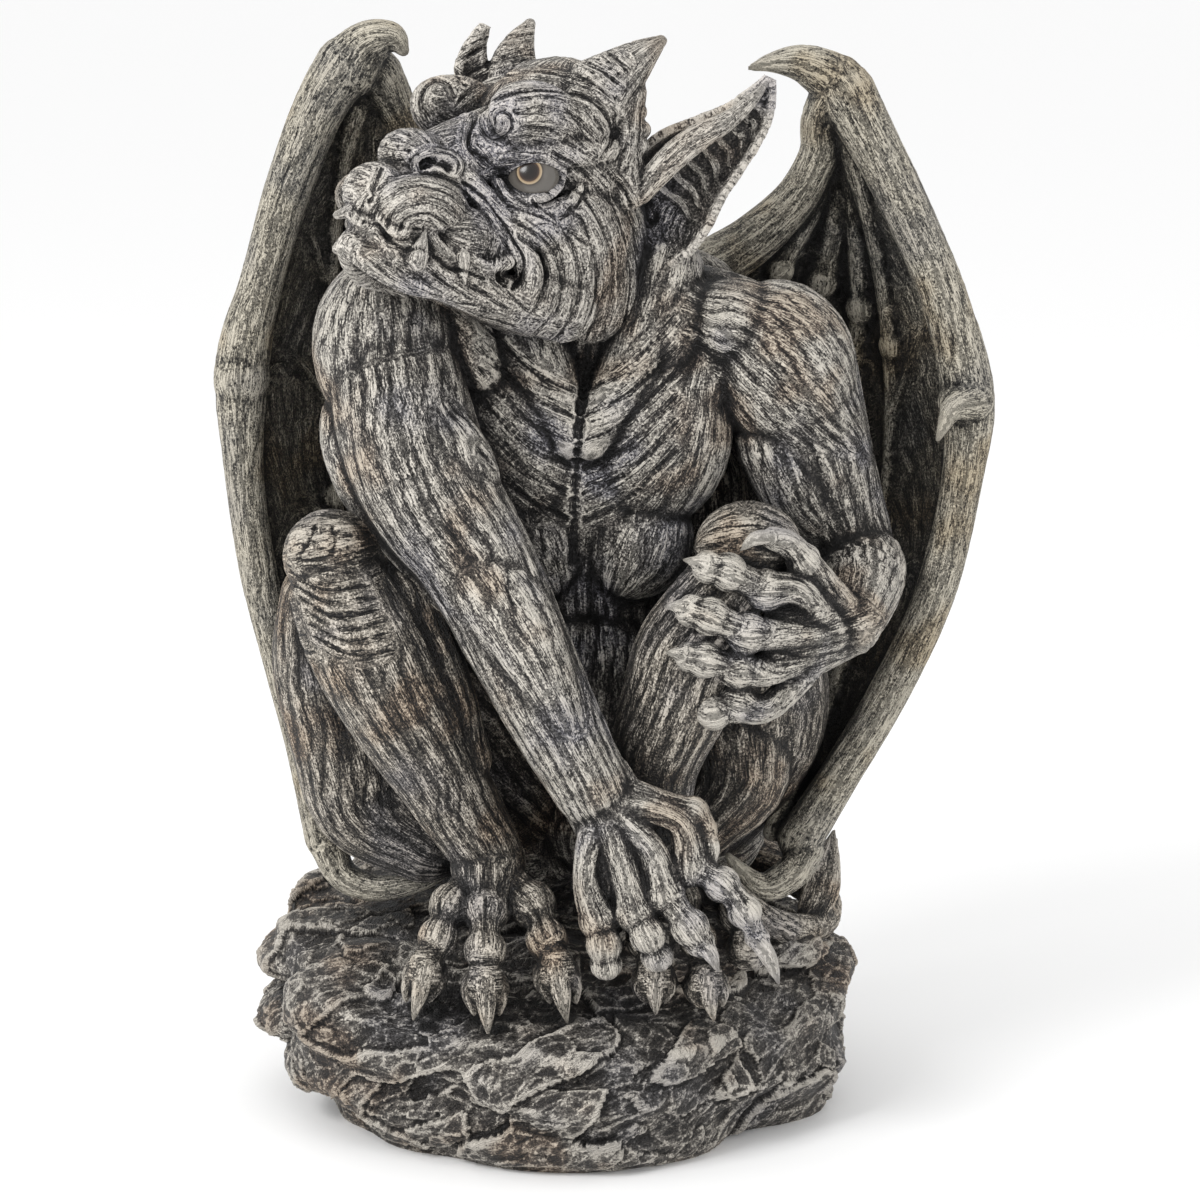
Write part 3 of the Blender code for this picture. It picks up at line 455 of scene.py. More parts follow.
def add_left_hand(clay):
    """The hand hung over the shin, fingers to the front view's left, and the thumb over the knee."""
    palm = ((850, 626, -100, 32), (812, 636, -132, 40), (774, 642, -150, 42))
    wrist = (834, 634, -124, 16)
    limb(clay, *palm, flat=0.55, facing=(0.3, -1, 0))
    first = ((765, 590, -166, 19), (728, 572, -180, 17), (708, 567, -182, 14))
    second = ((747, 633, -178, 19), (710, 616, -188, 17), (692, 611, -186, 14))
    third = ((738, 668, -174, 18), (704, 660, -184, 16), (690, 657, -184, 13))
    fourth = ((736, 703, -166, 18), (714, 712, -170, 16), (702, 706, -156, 13))
    first_claw = ((706, 565, -186, 7), (696, 562, -188, 6), (684, 560, -182, 2))
    second_claw = ((688, 608, -190, 7), (678, 606, -190, 6), (664, 607, -184, 2))
    third_claw = ((686, 656, -186, 7), (677, 653, -186, 6), (666, 653, -180, 2))
    for finger, claw in ((first, first_claw), (second, second_claw), (third, third_claw), (fourth, None)):
        knuckle = finger[0]
        tendon = (knuckle[0] + 36, knuckle[1] + 2, knuckle[2] + 10, 14)
        add_digit(clay, wrist, tendon, finger, claw, knobs=3)
    thumb = ((842, 608, -112, 18), (806, 562, -150, 13), (790, 545, -160, 13), (772, 538, -172, 11))
    thumb_claw = ((768, 537, -180, 7), (754, 539, -188, 7), (741, 550, -190, 2))
    thumb_knuckle = (803, 560, -152)
    limb(clay, *thumb)
    egg(clay, seen(*thumb_knuckle), (17, 17, 17), grain=False)
    limb(clay, *thumb_claw, kind=CLAW)


def add_foot(clay, ankle, toes):
    """A clawed foot: heel, toe bones, and for each toe two knuckles, a pad, and a claw between two lobes."""
    heel = (ankle[0], ankle[1] + 20, ankle[2] + 70, 34)
    instep = (ankle[0], ankle[1] + 30, ankle[2] - 25, 32)
    limb(clay, heel, (*ankle, 38), instep)
    for knuckle, joint, pad, tip in toes:
        limb(clay, (ankle[0], ankle[1], ankle[2] - 10, 20), *bony((knuckle, joint)), pad)
        for knob in (knuckle, joint):
            egg(clay, seen(*knob[:3]), (knob[3] + 3,) * 3, grain=False)
        egg(clay, seen(pad[0], pad[1] + 4, pad[2] + 8), (pad[3] + 7, pad[3] + 8, pad[3] + 6), grain=False)
        limb(clay, (pad[0], pad[1] - 8, pad[2] - 6, pad[3]), (pad[0], pad[1] + 1, pad[2] - 8, pad[3] + 1), striped=True)
        for lean in (-1, 1):
            lobe = [(pad[0] + (tip[0] - pad[0]) * share + lean * pad[3] * aside, pad[1] + (tip[1] - pad[1]) * share,
                     pad[2] - 6, thick) for share, aside, thick in ((0.0, 0.7, 7), (0.28, 0.95, 6), (0.58, 0.75, 3))]
            limb(clay, *lobe, sides=10)
        base = (pad[0], pad[1] - 2, pad[2] - 14, pad[3] - 5)
        middle = ((pad[0] + tip[0]) / 2, (pad[1] + tip[1]) / 2, (pad[2] + tip[2]) / 2 - 10, pad[3] - 8)
        limb(clay, base, middle, tip, kind=CLAW)


RIGHT_TOES = (
    ((452, 906, -158, 20), (438, 938, -184, 17), (425, 973, -196, 16), (413, 1020, -216, 2)),
    ((486, 910, -168, 21), (485, 950, -200, 18), (485, 985, -210, 17), (488, 1034, -232, 2)),
    ((532, 905, -158, 21), (547, 940, -188, 18), (557, 973, -198, 17), (567, 1022, -218, 2)),
)
LEFT_TOES = (
    ((630, 905, -160, 18), (645, 940, -186, 16), (654, 978, -198, 16), (656, 1015, -214, 2)),
    ((680, 900, -160, 18), (698, 940, -186, 16), (706, 982, -196, 16), (714, 1021, -214, 2)),
    ((716, 890, -140, 18), (736, 915, -166, 16), (748, 945, -180, 15), (756, 968, -190, 4)),
)
RIGHT_ANKLE, LEFT_ANKLE = (488, 862, -118), (648, 850, -112)

# %% [markdown]
# ## The tail
#
# The tail comes round the hip and lies along the rock, ringed like a rope, and ends in a leaf that
# stands up beside the wing.

# %% The tail's path
TAIL_PATH = ((640, 850, 190, 30), (730, 850, 190, 26), (806, 880, 130, 22), (824, 914, 60, 18), (800, 930, 0, 17),
             (766, 920, -40, 15), (732, 888, -50, 10))
TAIL_LEAF = ((806, 926, 20, 14), (818, 898, 26, 22), (826, 868, 30, 18), (834, 830, 34, 3))


def add_tail(clay):
    """The tail's rope and the blade at its end."""
    limb(clay, *TAIL_PATH)
    limb(clay, *TAIL_LEAF, flat=0.45, facing=(0.5, -1, 0))


# %% [markdown]
# ## The head
#
# The head looks down past one shoulder, so it has its own frame: forward, side and up. The real one
# is heavy: knotted brows over a deep-set eye, a bulbous pug nose, thick lips that curl up at the front
# over small tusks, and folds that sweep back from the mouth. Whatever stands beside the middle plane is made
# on both halves.

# %% Skull, muzzle and nose
def add_skull(clay):
    """The skull, muzzle, nose and throat, which the middle plane halves."""
    skull, jaw_root = (556, 150, 0), (566, 232, 0)
    head_egg(clay, skull, (88, 80, 90))
    head_egg(clay, jaw_root, (70, 66, 76))
    bridge = ((520, 150, 0, 52), (468, 160, 0, 42), (425, 180, 0, 40), (392, 200, 0, 34))
    crest = ((468, 160, 0, 20), (462, 138, 0, 11), (466, 122, 0, 9))
    feature(clay, *bridge, sides=16)
    feature(clay, *crest)
    palate, mouth_root = (436, 222, 0), (500, 230, 0)
    head_egg(clay, palate, (64, 42, 50))
    head_egg(clay, mouth_root, (60, 52, 80))
    nose_ball, lip_ball = (411, 156, 0), (376, 193, 0)
    head_egg(clay, nose_ball, (30, 34, 26))
    head_egg(clay, lip_ball, (30, 34, 29))
    under_jaw = ((356, 247, 0, 15), (392, 258, 0, 22), (440, 268, 0, 30), (520, 290, 0, 44), (590, 300, 0, 46))
    upper_curl = ((370, 209, 8, 5), (358, 206, 0, 6), (346, 212, -8, 6), (337, 215, -14, 4))
    lower_curl = ((374, 236, 14, 6), (361, 228, 0, 7), (348, 237, -8, 6), (337, 249, -14, 5))
    for fold in (under_jaw, upper_curl, lower_curl):
        feature(clay, *fold)


# %% Brows, eyes, cheeks and lips
EYE_MIDDLE, EYE_RADIUS = (533, 176, 52), 25
UPPER_LIP = ((363, 208, 0, 6), (376, 212, 16, 6), (387, 224, 26, 6), (398, 232, 34, 6), (425, 231, 42, 6),
             (437, 245, 48, 6), (452, 257, 51, 6), (470, 257, 54, 6), (486, 267, 57, 6), (508, 262, 61, 7))
INNER_LIP = ((358, 217, 0, 9), (372, 224, 10, 10), (386, 238, 18, 10), (400, 249, 27, 10), (420, 251, 34, 10),
             (436, 257, 41, 10), (452, 267, 45, 9), (470, 270, 48, 9), (486, 277, 52, 9))
CHIN = ((352, 246, 2, 12), (376, 262, 16, 14), (408, 281, 32, 12), (442, 289, 42, 11))
LOWER_LIP = ((361, 230, 0, 9), (374, 238, 16, 8), (386, 248, 26, 7), (398, 262, 34, 7), (415, 271, 40, 7),
             (433, 267, 44, 7), (448, 274, 48, 7), (464, 283, 52, 7), (478, 276, 54, 7), (488, 290, 58, 7),
             (503, 301, 60, 7), (520, 292, 64, 7))
CHEEK_FOLD = ((466, 178, 34, 11), (492, 208, 46, 12), (516, 242, 56, 13), (530, 276, 62, 13), (520, 302, 62, 10),
              (494, 309, 56, 9))
JAW_EDGE = ((372, 256, 14, 15), (410, 275, 30, 14), (450, 287, 40, 16), (500, 300, 46, 24), (560, 306, 46, 36))
UPPER_LID = ((501, 177, 4), (511, 166, 5), (529, 157, 6), (549, 159, 6), (565, 169, 5.5), (575, 179, 4))
LOWER_LID = ((503, 173, 4), (510, 189, 4.5), (527, 198, 5), (547, 196, 5), (561, 184, 4.5), (570, 171, 4))
EYE_BAG = ((498, 184, 44, 6), (512, 204, 54, 7), (536, 212, 62, 8), (562, 204, 68, 7), (580, 188, 70, 5))
BROW = ((466, 146, 18, 13), (490, 152, 36, 15), (530, 147, 58, 17), (575, 152, 70, 15), (606, 148, 74, 13))


def on_ball(column, row, lift, side=1):
    """The place where the sight line meets the near eyeball made larger by the lift, or its mirror image."""
    middle, across = on_face(*EYE_MIDDLE), head_axes()[1]
    aim = (seen(column, row, 0) - EYE).normalized()
    foot = EYE + aim * (middle - EYE).dot(aim)
    out, radius = foot - middle, EYE_RADIUS + lift
    if out.length < radius:
        place = foot - aim * math.sqrt(radius**2 - out.length_squared)
    else:
        place = middle + out.normalized() * radius
    return place if side == 1 else place - across * (2 * (place - seen(*HEAD_MIDDLE)).dot(across))


def add_face(clay, side):
    """One half of the face: brow, eye socket, cheeks, lips and jaw."""
    brow_bulge, temple = (538, 118, 58), (585, 118, 62)
    head_egg(clay, brow_bulge, (58, 26, 34), side)
    head_egg(clay, temple, (34, 24, 34), side)
    feature(clay, *BROW, side=side)
    head_egg(clay, EYE_MIDDLE, (EYE_RADIUS - 3,) * 3, side, grain=False)
    for lid in (UPPER_LID, LOWER_LID):
        tube(clay, [(on_ball(column, row, 2, side), radius) for column, row, radius in lid])
    feature(clay, *EYE_BAG, side=side)
    cheekbone, cheek, back_cheek, jaw_corner = (583, 216, 58), (540, 226, 50), (578, 245, 46), (594, 288, 40)
    head_egg(clay, cheekbone, (34, 24, 28), side)
    head_egg(clay, cheek, (48, 26, 28), side)
    head_egg(clay, back_cheek, (62, 36, 66), side)
    head_egg(clay, jaw_corner, (50, 34, 54), side)
    nose_wing, lip_pad, back_pad = (440, 168, 26), (424, 206, 32), (464, 236, 42)
    head_egg(clay, nose_wing, (22, 15, 16), side)
    head_egg(clay, lip_pad, (52, 26, 29), side)
    head_egg(clay, back_pad, (30, 18, 28), side)
    gum, mouth_corner = (412, 248, 26), (494, 240, 40)
    head_egg(clay, gum, (34, 18, 18), side)
    head_egg(clay, mouth_corner, (34, 18, 36), side)
    for fold in (CHEEK_FOLD, UPPER_LIP, LOWER_LIP, JAW_EDGE):
        feature(clay, *fold, side=side)
    feature(clay, *INNER_LIP, side=side, striped=True)
    feature(clay, *CHIN, side=side, striped=True)


def add_tusks(clay, side):
    """A lower tusk stands up outside the lip, and an upper one hangs down behind it."""
    lower_tusk = ((417, 262, 46, 10), (421, 247, 51, 7), (426, 229, 52, 1))
    upper_tusk = ((463, 257, 59, 7), (464, 270, 61, 5), (465, 286, 60, 1))
    feature(clay, *lower_tusk, side=side, kind=CLAW)
    feature(clay, *upper_tusk, side=side, kind=CLAW)


# %% Horns and ears
NEAR_HORN = ((600, 92, 58, 36), (620, 74, 68, 27), (641, 56, 82, 17), (661, 41, 93, 6))
FAR_HORN = ((522, 104, 60, 36), (514, 74, 66, 27), (518, 48, 70, 18), (530, 24, 72, 6))


def add_horns(clay):
    """Two horns that flare out from the crown, with a rough ridge from each down to the ear."""
    feature(clay, *NEAR_HORN, kind=HORN)
    limb(clay, *FAR_HORN, kind=HORN)
    for side in (1, -1):
        ridge = ((622, 92, 66, 24), (622, 122, 66, 21), (622, 152, 66, 20), (628, 190, 66, 20))
        feature(clay, *ridge, side=side)
        for knob in ((638, 112, 76), (642, 130, 78), (640, 146, 78)):
            head_egg(clay, knob, (9, 9, 9), side, grain=False)


def add_ear(clay, stations, across, hollow):
    """A pointed cupped ear along its middle line, as stations of the front view with half widths.
    across is the direction over the ear's width, and hollow is how deep its cup is for its half width."""
    spine = spline([(seen(*station[:3]), station[3]) for station in stations], 4)
    rows = []
    for index, (place, half) in enumerate(spine):
        along = (spine[min(index + 1, len(spine) - 1)][0] - spine[max(index - 1, 0)][0]).normalized()
        wide = (across - along * across.dot(along)).normalized()
        back = along.cross(wide)
        angles = [math.radians(-84 + 168 * step / 8) for step in range(9)]
        rows.append([place + wide * (half * math.sin(a)) + back * (half * hollow * math.cos(a)) for a in angles])
    slab(clay, rows, 9, kind=EAR)
    return rows


NEAR_EAR = ((640, 262, -50, 30), (646, 236, -54, 46), (664, 202, -54, 50), (687, 172, -52, 45), (716, 148, -50, 34),
            (743, 124, -47, 23), (760, 100, -45, 14), (770, 78, -44, 3))
EAR_ROLL = ((640, 196, -66, 10), (655, 176, -74, 13), (676, 154, -74, 14), (700, 136, -70, 13), (726, 122, -64, 10),
            (750, 102, -56, 7), (768, 80, -46, 3))
FAR_EAR = ((540, 176, 20, 32), (505, 130, 44, 30), (476, 86, 58, 20), (474, 56, 62, 12), (486, 25, 64, 3))


def add_ears(clay):
    """The near ear sweeps out and back. The far one is pricked up, so that its tip shows behind."""
    rows = add_ear(clay, NEAR_EAR, Vector((0.79, 0, -0.62)), 0.62)
    limb(clay, *EAR_ROLL, flat=0.6, kind=EAR)
    for number in range(9, 24, 2):
        rib = [(rows[number - abs(k - 4) // 2][k] + Vector((0, -5, 0)), 4.0 if 2 < k < 6 else 2.5) for k in range(2, 8)]
        tube(clay, rib, steps=3, sides=8, kind=EAR)
    add_ear(clay, FAR_EAR, Vector((0.9, 0.3, 0.3)), 0.5)


# %% [markdown]
# ## The wings
#
# Each wing is a hand: an arm up to a wrist, long finger bones down from it, and thin skin between
# them that hangs in scallops. The real wings are folded and stand like two shields behind the body.
# Making the skin from the bones' own curves keeps it fastened to them whatever the bones do.

# %% Bones, skin and scallops
WING_SKIN = 0.0062
FAN_STEPS = 16


def bone_curve(bone, steps):
    """Evenly spread places down a bone."""
    fine = spline([(seen(*station[:3]), 1.0) for station in bone], 12)
    return [fine[round(share / steps * (len(fine) - 1))][0] for share in range(steps + 1)]


def fan(curves, hollow, steps):
    """Places over a wing's skin: one row for each step down the bones, which all start at the wrist.
    Between two bones the skin sinks towards the back, and its lower edge is scalloped."""
    between = 5
    rows = []
    for step in range(steps + 1):
        row = []
        for panel, (first, second) in enumerate(zip(curves, curves[1:])):
            rise = 0.10 if panel else 0.02
            for part in range(between):
                share = part / between
                sink = math.sin(math.pi * share)
                down = step * (1 - rise * sink)
                low, high = int(down), min(int(down) + 1, steps)
                a = first[low].lerp(first[high], down - low)
                b = second[low].lerp(second[high], down - low)
                row.append(a.lerp(b, share) + Vector((0, hollow * sink * step / steps, 0)))
        row.append(curves[-1][step])
        rows.append(row)
    return rows


def add_scallops(clay, curves, hollow, shares):
    """Raised arches of skin from bone to bone, sagging between them."""
    for pair, stops in enumerate(shares):
        first, second = curves[pair], curves[pair + 1]
        for stop in stops:
            arch = []
            for part in range(7):
                share = part / 6
                sink = math.sin(math.pi * share)
                down = FAN_STEPS * stop - 1.1 * sink
                low = max(int(down), 0)
                a = first[low].lerp(first[min(low + 1, FAN_STEPS)], down - low)
                b = second[low].lerp(second[min(low + 1, FAN_STEPS)], down - low)
                arch.append((a.lerp(b, share) + Vector((0, hollow * sink * stop - 6, 0)), 5 + 2 * (1 - sink)))
            tube(clay, arch, sides=8, steps=3, kind=SKIN)


def add_wing(clay, arm, bones, hook, claw, hollow, knuckles, shares):
    """A folded wing: the arm up to the wrist, the finger bones from it, the skin and the hooked tips."""
    limb(clay, *arm, kind=BONE)
    for bone in bones:
        limb(clay, *bone, sides=12, kind=BONE)
    curves = [bone_curve(bone, FAN_STEPS) for bone in bones]
    slab(clay, fan(curves, hollow, FAN_STEPS), WING_SKIN / UNIT, kind=SKIN)
    add_scallops(clay, curves, hollow, shares)
    limb(clay, *hook, kind=BONE)
    limb(clay, *claw, kind=BONE)
    for knuckle in knuckles:
        egg(clay, seen(*knuckle[:3]), (knuckle[3],) * 3, grain=False)


def add_left_wing(clay):
    """The wing on the front view's right, seen on its hollow side."""
    arm = ((650, 330, 95, 34), (700, 276, 110, 30), (752, 240, 120, 26), (794, 200, 120, 22), (818, 156, 112, 20),
           (822, 122, 104, 22), (838, 94, 92, 28))
    outer = ((846, 92, 88, 30), (872, 140, 76, 26), (912, 220, 56, 24), (948, 310, 40, 24), (968, 398, 30, 27),
             (962, 480, 26, 21), (936, 590, 20, 21), (890, 690, 12, 21), (838, 778, 4, 21), (800, 838, 0, 24))
    second = ((842, 110, 100, 20), (876, 220, 118, 15), (896, 345, 122, 15), (892, 470, 112, 11), (870, 600, 84, 10),
              (820, 720, 50, 10), (772, 832, 14, 10))
    third = ((838, 110, 104, 18), (856, 210, 138, 14), (862, 308, 152, 14), (850, 420, 156, 10), (826, 560, 142, 9),
             (772, 720, 118, 8))
    fourth = ((834, 110, 104, 18), (838, 200, 142, 14), (822, 282, 160, 14), (800, 390, 168, 10), (768, 520, 162, 9),
              (724, 680, 142, 8))
    fifth = ((830, 110, 104, 18), (812, 200, 134, 14), (780, 270, 142, 12), (740, 370, 146, 10), (706, 480, 140, 9),
             (672, 620, 132, 8))
    inner = ((824, 122, 104, 12), (810, 180, 116, 12), (752, 240, 120, 12), (700, 290, 116, 12), (650, 360, 110, 12),
             (640, 460, 110, 10))
    knuckles = ((896, 345, 118, 18), (862, 308, 148, 17), (822, 282, 156, 17), (780, 270, 138, 15), (966, 402, 24, 28))
    hook = ((807, 850, -4, 18), (790, 874, -20, 18), (760, 886, -34, 14), (728, 856, -40, 4))
    claw = ((838, 82, 92, 28), (805, 64, 84, 20), (775, 62, 78, 11), (750, 68, 74, 3))
    thumb_claw = ((970, 402, 14, 20), (952, 410, -8, 12), (938, 440, -18, 3))
    add_wing(clay, arm, (outer, second, third, fourth, fifth, inner), hook, claw, 18, knuckles,
             ((0.42, 0.7), (0.3, 0.5), (0.26, 0.44), (0.24, 0.4), (0.3,)))
    limb(clay, *thumb_claw, kind=CLAW)


def add_right_wing(clay):
    """The wing on the front view's left, folded closer and seen edge on."""
    arm = ((540, 340, 95, 34), (480, 280, 120, 28), (430, 200, 126, 24), (400, 120, 112, 22), (375, 74, 88, 28))
    outer = ((345, 66, 66, 30), (318, 110, 56, 26), (288, 190, 46, 24), (262, 280, 36, 22), (242, 365, 28, 27),
             (244, 470, 22, 20), (258, 570, 16, 19), (280, 660, 10, 18), (304, 750, 4, 18), (326, 838, 0, 22))
    second = ((356, 84, 84, 20), (334, 190, 108, 14), (326, 300, 122, 13), (328, 400, 124, 12), (332, 500, 118, 13),
              (340, 640, 86, 9), (350, 800, 40, 8))
    third = ((362, 84, 90, 18), (352, 190, 126, 13), (362, 300, 150, 13), (372, 420, 158, 10), (392, 560, 150, 9),
             (430, 720, 120, 8))
    fourth = ((370, 84, 92, 18), (378, 190, 136, 13), (400, 300, 160, 12), (424, 410, 166, 10), (456, 530, 160, 9),
              (490, 680, 140, 8))
    fifth = ((378, 84, 92, 18), (408, 190, 138, 13), (440, 280, 150, 12), (476, 370, 152, 10), (510, 480, 144, 9),
             (534, 620, 130, 8))
    inner = ((386, 100, 100, 12), (404, 140, 112, 12), (430, 200, 126, 12), (480, 280, 120, 12), (530, 340, 112, 12),
             (560, 460, 110, 10))
    knuckles = ((326, 300, 118, 16), (332, 496, 114, 16), (362, 300, 146, 16), (241, 378, 24, 29))
    hook = ((328, 842, -2, 20), (342, 874, -16, 16), (376, 888, -30, 14), (420, 882, -40, 10), (448, 872, -46, 4))
    claw = ((350, 66, 68, 32), (368, 44, 60, 24), (392, 38, 54, 16), (403, 50, 50, 7))
    add_wing(clay, arm, (outer, second, third, fourth, fifth, inner), hook, claw, 18, knuckles,
             ((0.32, 0.5, 0.7), (0.3, 0.5), (0.26,), (0.24,), (0.3,)))


# %% [markdown]
# ## The rock
#
# The rock is a squat boulder, wider above than at the ground, with slabs that jut out on one side.
# Its outline is rings of an uneven oval; its broken faces come later, once it has a skin.

# %% The rock's outline
def rock_reach(angle, level):
    """How far the rock reaches from its middle, as a share of its half width, at a height share."""
    belly = 0.80 + 0.50 * level - 0.34 * level**2
    left, right = max(-math.cos(angle), 0), max(math.cos(angle), 0)
    lumps = 0.035 * math.sin(3 * angle + 0.6) + 0.03 * math.sin(5 * angle + 2.0)
    ledge = 0.05 * math.sin(2.5 * math.tau * level + 2 * angle)
    rough = noise.noise(Vector((2.6 * math.cos(angle), 2.6 * math.sin(angle), 2.4 * level)))
    return belly - 0.02 * right * level + lumps * (1 - 0.3 * left) + ledge * 0.4 + 0.09 * rough


def rock_top(x, y):
    """The height of the rock's top: it rises to the back and to the front view's left."""
    return 132 + 0.16 * (y + 240) - 0.09 * x + 12 * noise.noise(Vector((x / 70, y / 70, 1.5)))


def add_rock(clay):
    """Rings of an uneven outline from the ground up, closed by the top, and the jutting slabs."""
    middle, half_wide, half_deep = Vector((-38, -4, 0)), 294, 250
    around, levels, top_rings = 80, 10, 8
    rings = []
    for level in range(levels + top_rings):
        share = min(level / (levels - 1), 1.0)
        shrink = 1.0 - max(level - levels + 1, 0) / (top_rings + 0.2)
        ring = []
        for step in range(around):
            angle = math.tau * step / around
            reach = rock_reach(angle, share) * shrink
            x, y = half_wide * reach * math.cos(angle), half_deep * reach * math.sin(angle)
            edge = 10 * (shrink == 1.0) * share
            ring.append(clay.form.verts.new(middle + Vector((x, y, -20 + (rock_top(x, y) + 20) * share - edge))))
        rings.append(ring)
    for ring, following in zip(rings, rings[1:]):
        for step in range(around):
            other = (step + 1) % around
            clay.form.faces.new((ring[step], ring[other], following[other], following[step]))
    clay.form.faces.new(reversed(rings[0]))
    clay.form.faces.new(rings[-1])
    slabs = ((312, 945, 30, 54, 24), (304, 1002, 20, 54, 26), (340, 1050, -50, 54, 34), (774, 940, 50, 62, 34))
    for column, row, depth, wide, high in slabs:
        egg(clay, seen(column, row, depth), (wide, wide * 1.6, high), tilt=-8, grain=False)


# %% [markdown]
# ## Beads along a path
#
# Rings round the tail and the horns, and the knobs of the back bone, repeat along a path. Geometry
# Nodes suit that: one tree walks a curve, sets a bead on each point, turned along the path and as
# big as the path's radius there. It could be a loop in code, but the tree shows its sizes as inputs.

# %% The bead tree
def add_node(tree, kind, place=(0, 0), links=None, **settings):
    """A node with its settings, and its inputs linked or set: {input: socket or value}."""
    node = tree.nodes.new(kind)
    node.location = place
    for name, value in settings.items():
        setattr(node, name, value)
    for name, value in (links or {}).items():
        socket = node.inputs[name]
        if isinstance(value, bpy.types.NodeSocket):
            tree.links.new(value, socket)
        else:
            socket.default_value = value
    return node


def new_tree(name, inputs):
    """A geometry tree with named inputs, and its input and output nodes."""
    tree = bpy.data.node_groups.new(name, "GeometryNodeTree")
    tree.interface.new_socket("Geometry", in_out="INPUT", socket_type="NodeSocketGeometry")
    tree.interface.new_socket("Geometry", in_out="OUTPUT", socket_type="NodeSocketGeometry")
    for label, kind, value in inputs:
        tree.interface.new_socket(label, in_out="INPUT", socket_type=kind).default_value = value
    return tree, add_node(tree, "NodeGroupInput"), add_node(tree, "NodeGroupOutput", (1200, 0))


def run_tree(source, tree, **values):
    """Runs a tree on an object with these inputs, and gives back the plain mesh it makes."""
    step = source.modifiers.new(tree.name, "NODES")
    step.node_group = tree
    names = {item.name: item.identifier for item in tree.interface.items_tree if item.in_out == "INPUT"}
    for label, value in values.items():
        step[names[label.replace("_", " ")]] = value
    graph = bpy.context.evaluated_depsgraph_get()
    mesh = bpy.data.meshes.new_from_object(source.evaluated_get(graph), preserve_all_data_layers=True, depsgraph=graph)
    source.modifiers.remove(step)
    return mesh


PLAIN = bpy.data.materials.new("bare_resin")
bead_tree, given, result = new_tree("beads_along_path", (
    ("Count", "NodeSocketInt", 12), ("Swell", "NodeSocketFloat", 1.1), ("Length", "NodeSocketFloat", 0.2)))
points = add_node(bead_tree, "GeometryNodeCurveToPoints", (200, 0), {"Curve": given.outputs["Geometry"],
                                                                    "Count": given.outputs["Count"]}, mode="COUNT")
ball = add_node(bead_tree, "GeometryNodeMeshIcoSphere", (200, 300), {"Radius": 1.0, "Subdivisions": 2})
girth = add_node(bead_tree, "ShaderNodeMath", (400, -200), {
    0: add_node(bead_tree, "GeometryNodeInputRadius").outputs[0], 1: given.outputs["Swell"]}, operation="MULTIPLY")
thick = add_node(bead_tree, "ShaderNodeMath", (400, -400), {0: girth.outputs[0], 1: given.outputs["Length"]},
                 operation="MULTIPLY")
size = add_node(bead_tree, "ShaderNodeCombineXYZ", (600, -200), {0: girth.outputs[0], 1: girth.outputs[0],
                                                                2: thick.outputs[0]})
beads = add_node(bead_tree, "GeometryNodeInstanceOnPoints", (800, 0), {
    "Points": points.outputs["Points"], "Instance": ball.outputs["Mesh"], "Rotation": points.outputs["Rotation"],
    "Scale": size.outputs[0]})
real = add_node(bead_tree, "GeometryNodeRealizeInstances", (900, 0), {"Geometry": beads.outputs["Instances"]})
coated = add_node(bead_tree, "GeometryNodeSetMaterial", (1000, 0), {"Geometry": real.outputs["Geometry"],
                                                                   "Material": PLAIN})
bead_tree.links.new(coated.outputs["Geometry"], result.inputs["Geometry"])


def add_beads(clay, points, count, swell, length):
    """Beads or rings along a path of places with radii, added to the clay."""
    curve = bpy.data.curves.new("path", "CURVE")
    curve.dimensions = "3D"
    line = curve.splines.new("POLY")
    fine = spline(points, 8)
    line.points.add(len(fine) - 1)
    for spot, (place, radius) in zip(line.points, fine):
        spot.co = (*place, 1)
        spot.radius = radius
    path = bpy.data.objects.new("path", curve)
    bpy.context.scene.collection.objects.link(path)
    mesh = run_tree(path, bead_tree, Count=count, Swell=swell, Length=length)
    clay.form.from_mesh(mesh)
    bpy.data.objects.remove(path)
    bpy.data.meshes.remove(mesh)


def on_view(stations):
    """Stations of the front view as places with radii."""
    return [(seen(*station[:3]), station[3]) for station in stations]


print("the bead tree has", len(bead_tree.nodes), "nodes")

# %% [markdown]
# ## One skin over the clay
#
# The forms only overlap so far. A voxel remesh wraps them in one closed skin of even little squares,
# as wet clay closes over an armature, and a few rounds of smoothing take the steps out of it. The
# sculpted statue is made as five pieces, so that each can have small squares: the rock, the wings,
# the body, the legs with the tail, and the head with the smallest. The eyes are a sixth, and smooth.

# %% Skinning
def evaluated(source, name):
    """A copy of the object's mesh with its modifiers worked out."""
    mesh = bpy.data.meshes.new_from_object(source.evaluated_get(bpy.context.evaluated_depsgraph_get()))
    mesh.name = name
    return mesh


def outer_shells(mesh):
    """Drops the small shells: pockets left inside, and crumbs."""
    edges = np.zeros(len(mesh.edges) * 2, int)
    mesh.edges.foreach_get("vertices", edges)
    first, second = edges.reshape(-1, 2).T
    label = np.arange(len(mesh.vertices))
    while True:
        low = np.minimum(label[first], label[second])
        before = label.copy()
        np.minimum.at(label, first, low)
        np.minimum.at(label, second, low)
        label = label[label]
        if (label == before).all():
            break
    names, counts = np.unique(label, return_counts=True)
    loose = np.flatnonzero(~np.isin(label, names[counts > 0.1 * counts.max()]))
    if len(loose):
        form = bmesh.new()
        form.from_mesh(mesh)
        form.verts.ensure_lookup_table()
        bmesh.ops.delete(form, geom=[form.verts[int(i)] for i in loose], context="VERTS")
        form.to_mesh(mesh)
        form.free()
    return len(names)


def settled(name, form):
    """Turns the form that was worked on into an object of the scene."""
    mesh = bpy.data.meshes.new(name)
    form.to_mesh(mesh)
    form.free()
    shape = bpy.data.objects.new(name, mesh)
    bpy.context.scene.collection.objects.link(shape)
    return shape


